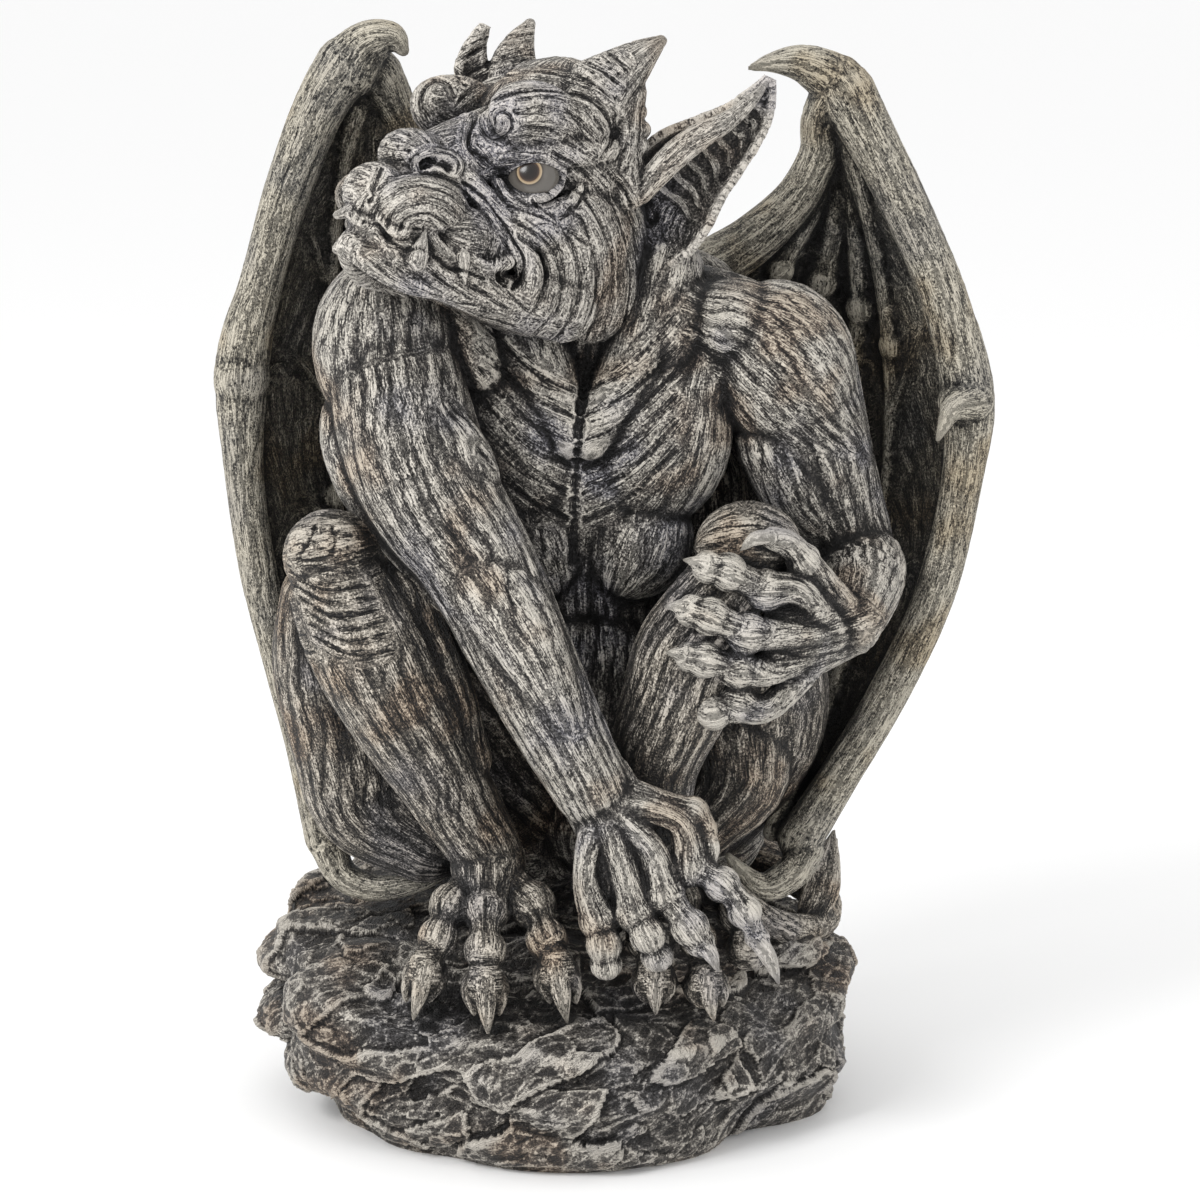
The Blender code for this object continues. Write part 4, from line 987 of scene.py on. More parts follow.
def one_skin(name, clay, cell, rounds):
    """Wraps the clay's forms in one closed skin of squares of the given size, in metres."""
    bmesh.ops.scale(clay.form, vec=(UNIT,) * 3, verts=clay.form.verts)
    bmesh.ops.recalc_face_normals(clay.form, faces=clay.form.faces)
    forms = settled(name, clay.form)
    skin = forms.modifiers.new("one_skin", "REMESH")
    skin.mode = "VOXEL"
    skin.voxel_size = cell * 1.0
    soften = forms.modifiers.new("soften", "SMOOTH")
    soften.factor = 0.5
    soften.iterations = rounds
    whole = evaluated(forms, name)
    forms.modifiers.clear()
    shells = outer_shells(whole)
    forms.data = whole
    print(name, "has", len(whole.polygons) * 2, "triangles;", shells, "shells were found")
    return forms


# %% [markdown]
# ## Noise and neighbours
#
# The carving is worked out for all the points of a skin at once, as arrays. Two helpers serve every
# step: a cloud of smooth random values, and the average of each point's neighbours.

# %% Arrays over a mesh
def lattice(x, y, z):
    """A fixed random value from 0 to 1 for each whole-number corner."""
    mixed = (x * 73856093) ^ (y * 19349663) ^ (z * 83492791)
    mixed = ((mixed ^ (mixed >> 13)) * 1274126177) & 0x7FFFFFFF
    return ((mixed ^ (mixed >> 15)) & 0xFFFF) / 65535.0


def cloud(places):
    """Smooth random values from 0 to 1, with blobs about one unit across."""
    corner = np.floor(places).astype(np.int64)
    part = places - corner
    part = part * part * (3 - 2 * part)
    total = np.zeros(len(places))
    for x in (0, 1):
        for y in (0, 1):
            for z in (0, 1):
                weight = (np.abs(1 - x - part[:, 0]) * np.abs(1 - y - part[:, 1]) * np.abs(1 - z - part[:, 2]))
                total += weight * lattice(corner[:, 0] + x, corner[:, 1] + y, corner[:, 2] + z)
    return total


def points_of(mesh):
    """The mesh's points as an array of places in metres."""
    flat = np.zeros(len(mesh.vertices) * 3)
    mesh.vertices.foreach_get("co", flat)
    return flat.reshape(-1, 3)


def normals_of(mesh):
    """The direction outwards at each point."""
    mesh.update()
    flat = np.zeros(len(mesh.vertices) * 3)
    mesh.vertex_normals.foreach_get("vector", flat)
    return flat.reshape(-1, 3)


def put_points(mesh, places):
    """Moves the mesh's points, and keeps them inside the solid's own box."""
    low, high = (np.array(corner) for corner in CAD_BOX)
    mesh.vertices.foreach_set("co", np.clip(places, low, high).ravel())
    mesh.update()


def neighbours_of(mesh):
    """The two ends of each edge, and how many edges meet at each point."""
    flat = np.zeros(len(mesh.edges) * 2, int)
    mesh.edges.foreach_get("vertices", flat)
    first, second = flat.reshape(-1, 2).T
    return first, second, np.maximum(np.bincount(flat, minlength=len(mesh.vertices)), 1)


def averaged(values, neighbours, rounds):
    """Values blurred over the surface by so many rounds of averaging with the neighbours."""
    first, second, meet = neighbours
    values = values.reshape(len(meet), -1).copy()
    for _ in range(rounds):
        for column in range(values.shape[1]):
            value = values[:, column]
            near = np.bincount(first, value[second], len(meet)) + np.bincount(second, value[first], len(meet))
            values[:, column] = 0.4 * value + 0.6 * near / meet
    return values


def store(mesh, name, values):
    """Stores one number or three on each point, for the paint to read."""
    kind, field = ("FLOAT", "value") if values.ndim == 1 else ("FLOAT_VECTOR", "vector")
    layer = mesh.attributes.new(name, kind, "POINT")
    layer.data.foreach_set(field, values.astype(np.float32).ravel())


# %% [markdown]
# ## Grain: which way the strands run
#
# The whole figure is covered in carved strands that follow each muscle, like peeled bark. So every
# point of a skin looks for the form that it lies on, and takes from it how far it is along the muscle
# and how far round it. A pattern drawn in those two measures follows the muscle by itself.

# %% Grain of a skin
MM = 1000.0


def grain_of(places, clay):
    """For each place in units: distance across and along its form in mm, the form's number and its kind."""
    rows = np.array(clay.grain)
    spots, radius = rows[:, :3], rows[:, 3]
    alongs, wides = rows[:, 4:7], rows[:, 7:10]
    thins = np.cross(alongs, wides)
    found = np.zeros((len(places), 4))
    square = (spots**2).sum(1)
    for start in range(0, len(places), 4000):
        chunk = places[start:start + 4000]
        away = np.sqrt(np.maximum((chunk**2).sum(1)[:, None] + square - 2 * chunk @ spots.T, 0))
        best = (away - radius).argmin(1)
        offset = chunk - spots[best]
        row = rows[best]
        wide = (offset * wides[best]).sum(1)
        thin = (offset * thins[best]).sum(1)
        turn = np.arctan2(wide, thin / row[:, 13])
        across = np.where(row[:, 12] > 0, turn * row[:, 12], wide + row[:, 11])
        along = row[:, 10] + (offset * alongs[best]).sum(1)
        found[start:start + 4000] = np.stack([across, along, row[:, 14], row[:, 15]], 1)
    found[:, :2] *= UNIT * MM
    return found


# %% [markdown]
# ## Marks of the tool
#
# Folds of the face, the edges between muscles and the creases of the belly are single marks, made
# where the eye sees them. Each is a line over the front view, thrown on to the skin along the sight
# lines, with a width and a depth. A mark also combs its neighbourhood: the strands beside it run
# with it, which is how the real carver made the whirls of the brow and the cheek.

# %% Strokes on the skin
def arc(column, row, wide, high, start, end, tilt=0):
    """A stroke along part of an oval of the front view. Angles turn clockwise from the right."""
    line = []
    turn = math.radians(tilt)
    for step in range(9):
        a = math.radians(start + (end - start) * step / 8)
        x, y = wide * math.cos(a), high * math.sin(a)
        line.append((column + x * math.cos(turn) - y * math.sin(turn), row + x * math.sin(turn) + y * math.cos(turn)))
    return line


def whirl(column, row, first, last, turns, start):
    """A stroke that winds out from a middle."""
    line = []
    for step in range(int(turns * 12) + 1):
        share = step / (turns * 12)
        a = math.radians(start) + share * turns * math.tau
        reach = first + (last - first) * share
        line.append((column + reach * math.cos(a), row + reach * math.sin(a)))
    return line


def thrown(line, tree):
    """The line's places on the skin, in metres, with the way it runs and the skin's direction there."""
    flat = spline([(Vector((column, row, 0)), 1.0) for column, row in line], 10)
    eye = EYE * UNIT
    spots = []
    for place, _ in flat:
        aim = (seen(place.x, place.y, 0) * UNIT - eye).normalized()
        hit, normal, _, _ = tree.ray_cast(eye, aim)
        if hit is not None:
            spots.append((hit, normal))
    runs, run = [], 0.0
    for index, (hit, normal) in enumerate(spots):
        before, after = spots[max(index - 1, 0)][0], spots[min(index + 1, len(spots) - 1)][0]
        if (after - before).length > 0.012 or (after - before).length < 1e-7:
            continue
        run += (hit - before).length
        along = (after - before).normalized()
        runs.append((*hit, *along, *normal.cross(along), run * MM))
    return runs


def carve_strokes(mesh, strokes, grain):
    """Cuts or raises each stroke and combs the grain beside it. A stroke is its line, its width, its
    depth (raised when positive) and how far it combs, the last three in mm."""
    polygons = [tuple(p.vertices) for p in mesh.polygons]
    places, normals = points_of(mesh), normals_of(mesh)
    tree = BVHTree.FromPolygons([tuple(p) for p in places], polygons)
    marks, owner = [], []
    for number, (line, width, depth, comb) in enumerate(strokes):
        for mark in thrown(line, tree):
            marks.append(mark)
            owner.append(number)
    if not marks:
        return
    marks, owner = np.array(marks), np.array(owner)
    finish = np.array([(width, depth, comb) for _, width, depth, comb in strokes])
    low, high = marks[:, :3].min(0) - 0.02, marks[:, :3].max(0) + 0.02
    inside = np.flatnonzero(((places > low) & (places < high)).all(1))
    shift = np.zeros(len(places))
    for start in range(0, len(inside), 3000):
        some = inside[start:start + 3000]
        away = np.sqrt(((places[some, None, :] - marks[None, :, :3])**2).sum(2)) * MM
        best = away.argmin(1)
        near = away[np.arange(len(some)), best]
        offset = (places[some] - marks[best, :3]) * MM
        lateral = (offset * marks[best, 6:9]).sum(1)
        width, depth, comb = finish[owner[best]].T
        shift[some] += depth * np.exp(-(near / width)**2)
        combed = near < comb
        chosen = some[combed]
        grain[chosen, 0] = lateral[combed]
        grain[chosen, 1] = marks[best, 9][combed]
        grain[chosen, 2] = 400 + owner[best][combed]
    put_points(mesh, places + normals * (shift / MM)[:, None])
    print(mesh.name, "took", len(strokes), "strokes,", len(marks), "marks")


# %% [markdown]
# ## Strands
#
# The strands are real relief, cut about a millimetre deep, because they break the light and the
# edge of each muscle. Two sizes of ridges are laid over each other, and a slow unevenness
# makes them wander, part and join. The counts are kept on the skin, because the paint draws the same
# bundles again, with finer strands in them than the relief can hold.

# %% Cutting the strands
STRAND_DEPTH = {FLESH: 1.3, BONE: 0.8, SKIN: 0.7, CLAW: 0.1, HORN: 0.8, EAR: 0.5}
STRAND_WIDTH = {FLESH: 2.5, BONE: 2.8, SKIN: 3.0, CLAW: 2.2, HORN: 2.4, EAR: 2.2}
WANDERS = ((34, 120, 15), (15, 40, 5), (6, 80, 2))
BY_KIND = [np.array([table[kind] for kind in sorted(table)]) for table in (STRAND_DEPTH, STRAND_WIDTH)]


def strand_counts(places, grain, fineness):
    """Bundles of strands and the strands in them, each as a count over the skin, and where strands show
    most. They wander sideways in blobs of several sizes: how big, which noise, and how far, in mm."""
    width = BY_KIND[1][grain[:, 3].astype(int)] * fineness
    wander = sum((cloud(places / blob + seed) - 0.5) * wide for blob, seed, wide in WANDERS)
    across, along = grain[:, 0] + wander * fineness, grain[:, 1]
    shift = grain[:, 2] * 7.31
    bundles = (across + 0.10 * along) / (width * 2.7) + shift
    strands = (across - 0.05 * along) / width + shift
    shown = np.clip((cloud(places / 7 + 11) - 0.25) / 0.5, 0.15, 1)
    return np.stack([bundles, strands, shown], 1)


def strand_height(counts):
    """The height of the strands: rounded ridges near 1 with sharp grooves down to 0."""
    bundles, strands = (np.sqrt(np.abs(np.sin(math.pi * counts[:, k]))) for k in (0, 1))
    return 0.55 * bundles + 0.45 - 0.45 * counts[:, 2] * (1 - strands)


def seams_of(mesh, numbers):
    """1 where the grain of two forms meets, fading to 0 a few points away."""
    neighbours = neighbours_of(mesh)
    first, second, _ = neighbours
    seam = np.zeros(len(numbers))
    differ = numbers[first] != numbers[second]
    seam[first[differ]] = seam[second[differ]] = 1.0
    return np.maximum(seam, np.clip(averaged(seam, neighbours, 2)[:, 0] * 1.6, 0, 1))


def cut_strands(mesh, grain, fineness, calm):
    """Moves the skin in and out by its strands, less near the calm places, and stores their counts."""
    places, normals = points_of(mesh), normals_of(mesh)
    seam = seams_of(mesh, grain[:, 2])
    counts = strand_counts(places * MM, grain, fineness)
    patches = np.clip(cloud(places * MM / 13 + 5) * 1.6 - 0.3, 0.15, 1)
    depth = BY_KIND[0][grain[:, 3].astype(int)] * fineness * patches
    for middle, reach in calm:
        away = np.sqrt(((places / UNIT - np.array(middle))**2).sum(1)) / reach
        depth = depth * np.clip(away**2, 0.1, 1)
    put_points(mesh, places + normals * ((strand_height(counts) - 0.7) * (1 - 0.8 * seam) * depth / MM)[:, None])
    store(mesh, "seam", seam)
    store(mesh, "strands", counts)
    store(mesh, "grain", np.stack([grain[:, 0], grain[:, 1], grain[:, 2] * 9.7], 1))


# %% [markdown]
# ## What the paint needs to know
#
# A painter washes a casting with dark glaze, which stays in the hollows, and then drags pale paint
# over the ridges. So each point stores how far it stands out from its surroundings, at a fine and a
# broad scale, and how much open sky it sees. Where it sees little sky the paint is darkened: partly
# that wash, partly painted shade. The sky is measured by casting rays against the plain
# solid, from just above the surface.

# %% Hollows, ridges and open sky
SOLID = bpy.data.objects[STATUE]
SOLID_TREE = BVHTree.FromPolygons([tuple(v.co) for v in SOLID.data.vertices],
                                  [tuple(p.vertices) for p in SOLID.data.polygons])


def under_solid(places, most=0.02):
    """How far each place lies under the solid's surface, in metres, and 0 outside it."""
    depth = np.zeros(len(places))
    for index, spot in enumerate(places):
        near, normal, _, away = SOLID_TREE.find_nearest(spot, most)
        if near is None or (Vector(spot) - near).dot(normal) < 0:
            depth[index] = most if near is None else away
    return depth


def open_sky(places, normals, reach=0.07, rays=9, lift=0.0028, rise=0.0035):
    """The share of the sky each place sees, from 0 to 1, up to a reach in metres. A place that lies
    a little under the solid's surface looks out from above it."""
    side = np.cross(normals, np.where(np.abs(normals[:, 2:3]) < 0.9, [[0, 0, 1.0]], [[1.0, 0, 0]]))
    side /= np.linalg.norm(side, axis=1)[:, None]
    other = np.cross(normals, side)
    start = places + normals * (lift + np.minimum(under_solid(places), rise))[:, None]
    total = np.zeros(len(places))
    for ray in range(rays):
        spin, tip = math.tau * ray * 0.382, math.radians(20 + 50 * ray / rays)
        aim = normals * math.cos(tip) + (side * math.cos(spin) + other * math.sin(spin)) * math.sin(tip)
        cast = SOLID_TREE.ray_cast
        total += [1.0 if (hit := cast(a, b, reach))[0] is None else hit[3] / reach * 0.7
                  for a, b in zip(start.tolist(), aim.tolist())]
    return total / rays


def thinned(skin, most, spots=()):
    """Thins the skin to at most so many triangles: most of all where the other pieces hide it, and
    least near the spots, each a place and a reach in units."""
    mesh = skin.data
    places = points_of(mesh)
    share = np.clip((under_solid(places) * MM - 3.0) / 2.5, 0, 1) * 0.7 + 0.3
    for middle, reach in spots:
        away = np.sqrt(((places / UNIT - np.array(middle))**2).sum(1)) / reach
        share = np.where(away < 1, np.minimum(share, 0.02 + 0.28 * away**2), share)
    group = skin.vertex_groups.new(name="thinning")
    levels = np.round(share * 20) / 20
    for level in np.unique(levels):
        group.add(np.flatnonzero(levels == level).tolist(), max(float(level), 0.01), "REPLACE")
    step = skin.modifiers.new("fewer_faces", "DECIMATE")
    mesh.calc_loop_triangles()
    before = len(mesh.loop_triangles)
    step.ratio = min(most / before, 1.0)
    step.use_collapse_triangulate = True
    step.vertex_group = group.name
    step.vertex_group_factor = 0.002
    thin = evaluated(skin, skin.name)
    skin.modifiers.clear()
    skin.vertex_groups.clear()
    skin.data = thin
    thin.calc_loop_triangles()
    print(skin.name, "went from", before, "to", len(thin.loop_triangles), "triangles")


CREST_MM, SWELL_MM = 0.14, 0.9


def measure_for_paint(mesh, sky=None):
    """Stores how each point stands out, finely and broadly, and its open sky."""
    places, normals = points_of(mesh), normals_of(mesh)
    neighbours = neighbours_of(mesh)
    fine = averaged(places, neighbours, 3)
    broad = averaged(fine, neighbours, 26)
    store(mesh, "crest", ((places - fine) * normals).sum(1) * MM / CREST_MM)
    store(mesh, "swell", ((places - broad) * normals).sum(1) * MM / SWELL_MM)
    sky = open_sky(places, normals) if sky is None else sky
    store(mesh, "sky", averaged(sky, neighbours, 3)[:, 0])


# %% [markdown]
# ## Pits
#
# The knuckles of the wings, the nose and the crown are pitted like worn bone. Geometry Nodes scatter points
# over the skin where an attribute says it is pitted, and push the skin in near each point. Scattering
# keeps the pits apart, which a noise texture would not.

# %% The pit tree
pit_tree, given, result = new_tree("pits_in_skin", (
    ("Spacing", "NodeSocketFloat", 0.003), ("Density", "NodeSocketFloat", 90000.0),
    ("Radius", "NodeSocketFloat", 0.0013), ("Depth", "NodeSocketFloat", 0.0008), ("Seed", "NodeSocketInt", 7)))
pitted = add_node(pit_tree, "GeometryNodeInputNamedAttribute", (0, -300), {"Name": "pitted"}, data_type="FLOAT")
spread = add_node(pit_tree, "GeometryNodeDistributePointsOnFaces", (200, -200), {
    "Mesh": given.outputs["Geometry"], "Distance Min": given.outputs["Spacing"],
    "Density Max": given.outputs["Density"], "Density Factor": pitted.outputs["Attribute"],
    "Seed": given.outputs["Seed"]}, distribute_method="POISSON")
nearest = add_node(pit_tree, "GeometryNodeProximity", (400, -200), {"Geometry": spread.outputs["Points"]},
                   target_element="POINTS")
sink = add_node(pit_tree, "ShaderNodeMapRange", (600, -200), {
    "Value": nearest.outputs["Distance"], "From Min": 0.0, "From Max": given.outputs["Radius"], "To Min": 1.0,
    "To Max": 0.0}, interpolation_type="SMOOTHSTEP")
depth = add_node(pit_tree, "ShaderNodeMath", (700, -200), {0: sink.outputs["Result"], 1: given.outputs["Depth"]},
                 operation="MULTIPLY")
down = add_node(pit_tree, "ShaderNodeMath", (750, -300), {0: depth.outputs[0], 1: -1.0}, operation="MULTIPLY")
push = add_node(pit_tree, "ShaderNodeVectorMath", (850, -200), {
    0: add_node(pit_tree, "GeometryNodeInputNormal").outputs[0], "Scale": down.outputs[0]}, operation="SCALE")
dented = add_node(pit_tree, "GeometryNodeSetPosition", (950, 0), {
    "Geometry": given.outputs["Geometry"], "Offset": push.outputs["Vector"]})
kept = add_node(pit_tree, "GeometryNodeStoreNamedAttribute", (1000, 0), {
    "Geometry": dented.outputs["Geometry"], "Name": "pit", "Value": sink.outputs["Result"]},
    data_type="FLOAT", domain="POINT")
real = add_node(pit_tree, "GeometryNodeRealizeInstances", (1050, 0), {"Geometry": kept.outputs["Geometry"]})
coated = add_node(pit_tree, "GeometryNodeSetMaterial", (1100, 0), {"Geometry": real.outputs["Geometry"],
                                                                  "Material": PLAIN})
pit_tree.links.new(coated.outputs["Geometry"], result.inputs["Geometry"])


def pit(skin, spots, **sizes):
    """Pits the skin round each spot: a place in units and a reach in units."""
    if not spots:
        return
    places = points_of(skin.data) / UNIT
    share = np.zeros(len(places))
    for middle, reach in spots:
        away = np.sqrt(((places - np.array(middle))**2).sum(1)) / reach
        share = np.maximum(share, np.clip(1.6 - 1.6 * away, 0, 1))
    store(skin.data, "pitted", share)
    skin.data = run_tree(skin, pit_tree, **sizes)
    skin.data.name = skin.name


print("the pit tree has", len(pit_tree.nodes), "nodes")

# %% [markdown]
# ## Paint: dry-brushed resin
#
# The real finish is acrylic on cast polyresin: a grey-brown base, a near-black wash in the hollows,
# and pale stone colour dragged over the ridges, with a little blue-grey and brown glazed over it.
# Where little open sky is seen, the colour is darkened further as painted shade. It is dull, with a
# faint sheen where the wash has pooled. One builder makes the five variants: their colours differ,
# how much of the pattern shows, and how dark each is set, which on the head is partly painted
# light and on the legs partly painted shade.

# %% Colours and the stone paint
def colour(code):
    """An sRGB hex colour as linear red, green, blue and one."""
    parts = [int(code[k:k + 2], 16) / 255 for k in (1, 3, 5)]
    return (*[c / 12.92 if c <= 0.04045 else ((c + 0.055) / 1.055) ** 2.4 for c in parts], 1.0)


def attribute(tree, name):
    """The Attribute node that reads a stored value."""
    return add_node(tree, "ShaderNodeAttribute", attribute_name=name, attribute_type="GEOMETRY")


def sums(tree, terms, start=0.0):
    """A chain of multiply-add nodes: start plus each value times its share."""
    total = start
    for value, share in terms:
        total = add_node(tree, "ShaderNodeMath", (0, 0), {0: value, 1: share, 2: total},
                         operation="MULTIPLY_ADD").outputs[0]
    return total


def part_of(tree, value, low, high, bottom=0.0, top=1.0):
    """A value's place between low and high, eased, as a number from bottom to top."""
    return add_node(tree, "ShaderNodeMapRange", (0, 0), {"Value": value, "From Min": low, "From Max": high,
                                                       "To Min": bottom, "To Max": top},
                    interpolation_type="SMOOTHSTEP").outputs["Result"]


def math_of(tree, operation, first, second=0.0):
    """One sum."""
    return add_node(tree, "ShaderNodeMath", (0, 0), {0: first, 1: second}, operation=operation).outputs[0]


def blend(tree, value, other, share):
    """A value that gives way to a fixed one by a share."""
    return sums(tree, ((math_of(tree, "SUBTRACT", other, value), share),), start=value)


def strands_of(tree, finer=1.7):
    """The same bundles as the relief's, drawn from the stored counts, with finer strands in them."""
    counts = add_node(tree, "ShaderNodeSeparateXYZ", (0, 0), {0: attribute(tree, "strands").outputs["Vector"]}).outputs
    bundles, strands = (math_of(tree, "SQRT", math_of(tree, "ABSOLUTE", math_of(tree, "SINE", math_of(
        tree, "MULTIPLY", count, math.pi * many)))) for count, many in ((counts[0], 1), (counts[1], finer)))
    shown = math_of(tree, "MULTIPLY", counts[2], math_of(tree, "SUBTRACT", 1.0, strands))
    return sums(tree, ((bundles, 0.55), (shown, -0.45)), start=0.45)


def noise_of(tree, place, size_m, detail=3.0, roughness=0.6):
    """Noise with blobs of a size in metres."""
    return add_node(tree, "ShaderNodeTexNoise", (0, 0), {"Vector": place, "Scale": 1 / size_m, "Detail": detail,
                                                       "Roughness": roughness}).outputs["Fac"]


def banded(tree, value, ramp):
    """A colour for each value, from a ramp of places with their colour codes."""
    bands = add_node(tree, "ShaderNodeValToRGB", (0, 0), {"Fac": value})
    stops = bands.color_ramp.elements
    while len(stops) < len(ramp):
        stops.new(0.5)
    for stop, (place, code) in zip(stops, ramp):
        stop.position, stop.color = place, colour(code)
    return bands.outputs["Color"]


GRIT_WIDE, PINHOLES_APART, PATCH_WIDE, TINT_WIDE = 0.0009, 0.0026, 0.022, 0.045


def dry_brushed_stone(name, ramp, cool, warm, strand_mm=1.0, along_mm=11, contrast=1.0, lines=0.42,
                      ledges=0.0, shade=0.0):
    """Cast resin painted as old stone. ramp gives the colours from hollow to ridge, and usual is what
    the terms of the level add up to on plain skin. shade sets the whole piece darker, or lighter below 0:
    the piece's own tone, and on the head and legs partly painted light and shade. Sizes are in metres,
    but for those named in mm."""
    material = bpy.data.materials.new(name)
    material.use_nodes = True
    tree = material.node_tree
    shader = tree.nodes["Principled BSDF"]
    shader.inputs["Metallic"].default_value = 0.0
    shader.inputs["IOR"].default_value = 1.48
    object_place = add_node(tree, "ShaderNodeTexCoord").outputs["Object"]
    grain = attribute(tree, "grain").outputs["Vector"]
    sky = attribute(tree, "sky").outputs["Fac"]
    thread = add_node(tree, "ShaderNodeVectorMath", (0, 0), {0: grain, 1: (1 / strand_mm, 1 / along_mm, 1.0)},
                      operation="MULTIPLY").outputs[0]
    seam = attribute(tree, "seam").outputs["Fac"]
    streak = blend(tree, noise_of(tree, thread, 1.0, 2.0, 0.55), 0.58, seam)
    threads = part_of(tree, streak, 0.36, 0.64)
    scratches = part_of(tree, math_of(tree, "ABSOLUTE", math_of(tree, "SUBTRACT", streak, 0.5)), 0.0, 0.05)
    grit = part_of(tree, noise_of(tree, object_place, GRIT_WIDE, 2.0, 0.6), 0.36, 0.64)
    cloudy = noise_of(tree, object_place, PATCH_WIDE)
    dots = add_node(tree, "ShaderNodeTexVoronoi", (0, 0), {"Vector": object_place,
                                                           "Scale": 1 / PINHOLES_APART}).outputs["Distance"]
    holes = part_of(tree, dots, 0.10, 0.22, 1.0, 0.0)
    strands = blend(tree, strands_of(tree), 0.6, seam)
    pale = part_of(tree, attribute(tree, "border").outputs["Fac"], 0.2, 1.5, ledges, 0.0)
    usual = 0.37 * contrast + 0.8 * lines + 0.22 + 0.10 + 0.17 + 0.15
    # In the level, sky lightens what sees open sky and darkens the rest: painted shade, besides the wash.
    level = sums(tree, ((strands, 0.50 * contrast), (scratches, lines), (attribute(tree, "crest").outputs["Fac"], 0.10),
                        (attribute(tree, "swell").outputs["Fac"], 0.14), (sky, 0.30), (threads, 0.20), (grit, 0.34),
                        (cloudy, 0.3), (attribute(tree, "pit").outputs["Fac"], -0.3), (holes, -0.3), (pale, 1.0)),
                 start=0.43 - shade - usual)
    tint = noise_of(tree, object_place, TINT_WIDE, 2.0)
    cooler, warmer = part_of(tree, tint, 0.50, 0.68, 0.0, 0.6), part_of(tree, tint, 0.34, 0.48, 0.6, 0.0)
    tinted = banded(tree, level, ramp)
    for share, code in ((cooler, cool), (warmer, warm)):
        tinted = add_node(tree, "ShaderNodeMix", (0, 0), {0: share, 6: tinted, 7: colour(code)}, data_type="RGBA",
                          blend_type="SOFT_LIGHT").outputs[2]
    # Places that see little sky are darkened again: partly the wash pooled in the hollows, partly painted shade.
    wash_and_painted_shade = part_of(tree, sky, 0.05, 0.6, 0.25, 1.0)
    washed_and_shaded = add_node(tree, "ShaderNodeVectorMath", (0, 0), {0: tinted, "Scale": wash_and_painted_shade},
                      operation="SCALE").outputs["Vector"]
    tree.links.new(washed_and_shaded, shader.inputs["Base Color"])
    tree.links.new(part_of(tree, level, 0.1, 0.9, 0.5, 0.82), shader.inputs["Roughness"])
    relief = sums(tree, ((strands, 0.9 * contrast), (threads, 0.3), (scratches, 0.6), (grit, 0.35), (holes, -0.5)))
    bump = add_node(tree, "ShaderNodeBump", (0, 0), {"Height": relief, "Strength": 1.0, "Distance": 0.0012})
    tree.links.new(bump.outputs["Normal"], shader.inputs["Normal"])
    return material


FLESH_PAINT = dry_brushed_stone("dry_brushed_polyresin", (
    (0.20, "#100E0D"), (0.39, "#302D2A"), (0.55, "#625D58"), (0.70, "#949088"), (0.88, "#D0CABF")),
    cool="#6C7AA4", warm="#8C6A4C", shade=0.03)
# The head is set lighter than the body: partly its own paint, partly painted light.
HEAD_PAINT = dry_brushed_stone("dry_brushed_polyresin_head", (
    (0.20, "#100E0D"), (0.39, "#322F2C"), (0.55, "#66615C"), (0.70, "#9A958D"), (0.88, "#D8D2C8")),
    cool="#6C7AA4", warm="#8C6A4C", strand_mm=0.8, shade=-0.05)
# The legs are set darker: partly their own browner paint, partly painted shade, as the light falls from above.
LEG_PAINT = dry_brushed_stone("dry_brushed_polyresin_legs", (
    (0.20, "#100E0D"), (0.39, "#302C27"), (0.55, "#605A52"), (0.70, "#90897E"), (0.88, "#CAC2B5")),
    cool="#6C7A9C", warm="#8C6A4C", shade=0.09)
WING_PAINT = dry_brushed_stone("dry_brushed_polyresin_wings", (
    (0.18, "#13110F"), (0.38, "#36332D"), (0.55, "#625E55"), (0.71, "#8F897B"), (0.90, "#C6BFAF")),
    cool="#788298", warm="#8A7250", strand_mm=0.9, contrast=0.6, shade=-0.02)
ROCK_PAINT = dry_brushed_stone("dry_brushed_polyresin_rock", (
    (0.14, "#191614"), (0.36, "#3A3632"), (0.55, "#5C5853"), (0.72, "#817C75"), (0.92, "#C0BAB0")),
    cool="#76809A", warm="#84603E", strand_mm=0.9, along_mm=4.5, contrast=0.15,
    lines=-0.20, ledges=0.4, shade=0.22)
print("paints:", FLESH_PAINT.name, WING_PAINT.name, ROCK_PAINT.name)

# %% [markdown]
# ## The head comes first
#
# The face is what people look at, so the head gets the finest skin. After the forms come the marks:
# whirls on the brow, rings under the eye, folds that sweep back from the corner of the mouth, and
# wrinkles over the muzzle.

# %% Marks on the face
FACE_STROKES = []


def mark(width, depth, comb, *lines):
    """Adds strokes of one width, depth and combing reach, in mm."""
    for line in lines:
        FACE_STROKES.append((line, width, depth, comb))


BROW_RIM = [(484, 160), (470, 146), (472, 128), (482, 110), (500, 97), (534, 89), (568, 92), (594, 101),
            (610, 120), (612, 140), (602, 160)]
mark(1.5, -1.8, 5, BROW_RIM)
mark(1.2, -0.9, 5, whirl(500, 122, 5, 22, 1.1, 180), [(515, 112), (540, 108), (570, 114), (592, 134)])
mark(1.1, -0.6, 5, [(508, 136), (534, 128), (562, 132), (586, 150)], [(520, 100), (552, 98), (584, 108), (602, 128)])
mark(1.2, -0.8, 5, arc(536, 122, 84, 50, 205, 330), arc(538, 120, 96, 66, 215, 325), arc(540, 118, 108, 84, 225, 320))
mark(1.4, -1.4, 4, arc(438, 100, 17, 20, 130, 350), arc(438, 100, 31, 32, 150, 330))
mark(1.1, -0.8, 4, arc(535, 178, 38, 33, 15, 165), arc(536, 180, 50, 45, 5, 150))
mark(1.5, -1.7, 5, [(463, 184), (480, 196), (497, 216), (511, 238), (522, 258), (519, 276), (514, 288)])
mark(1.3, -1.3, 4, [(510, 206), (536, 214), (560, 226), (590, 244)], [(520, 224), (540, 236), (556, 256), (562, 282)])
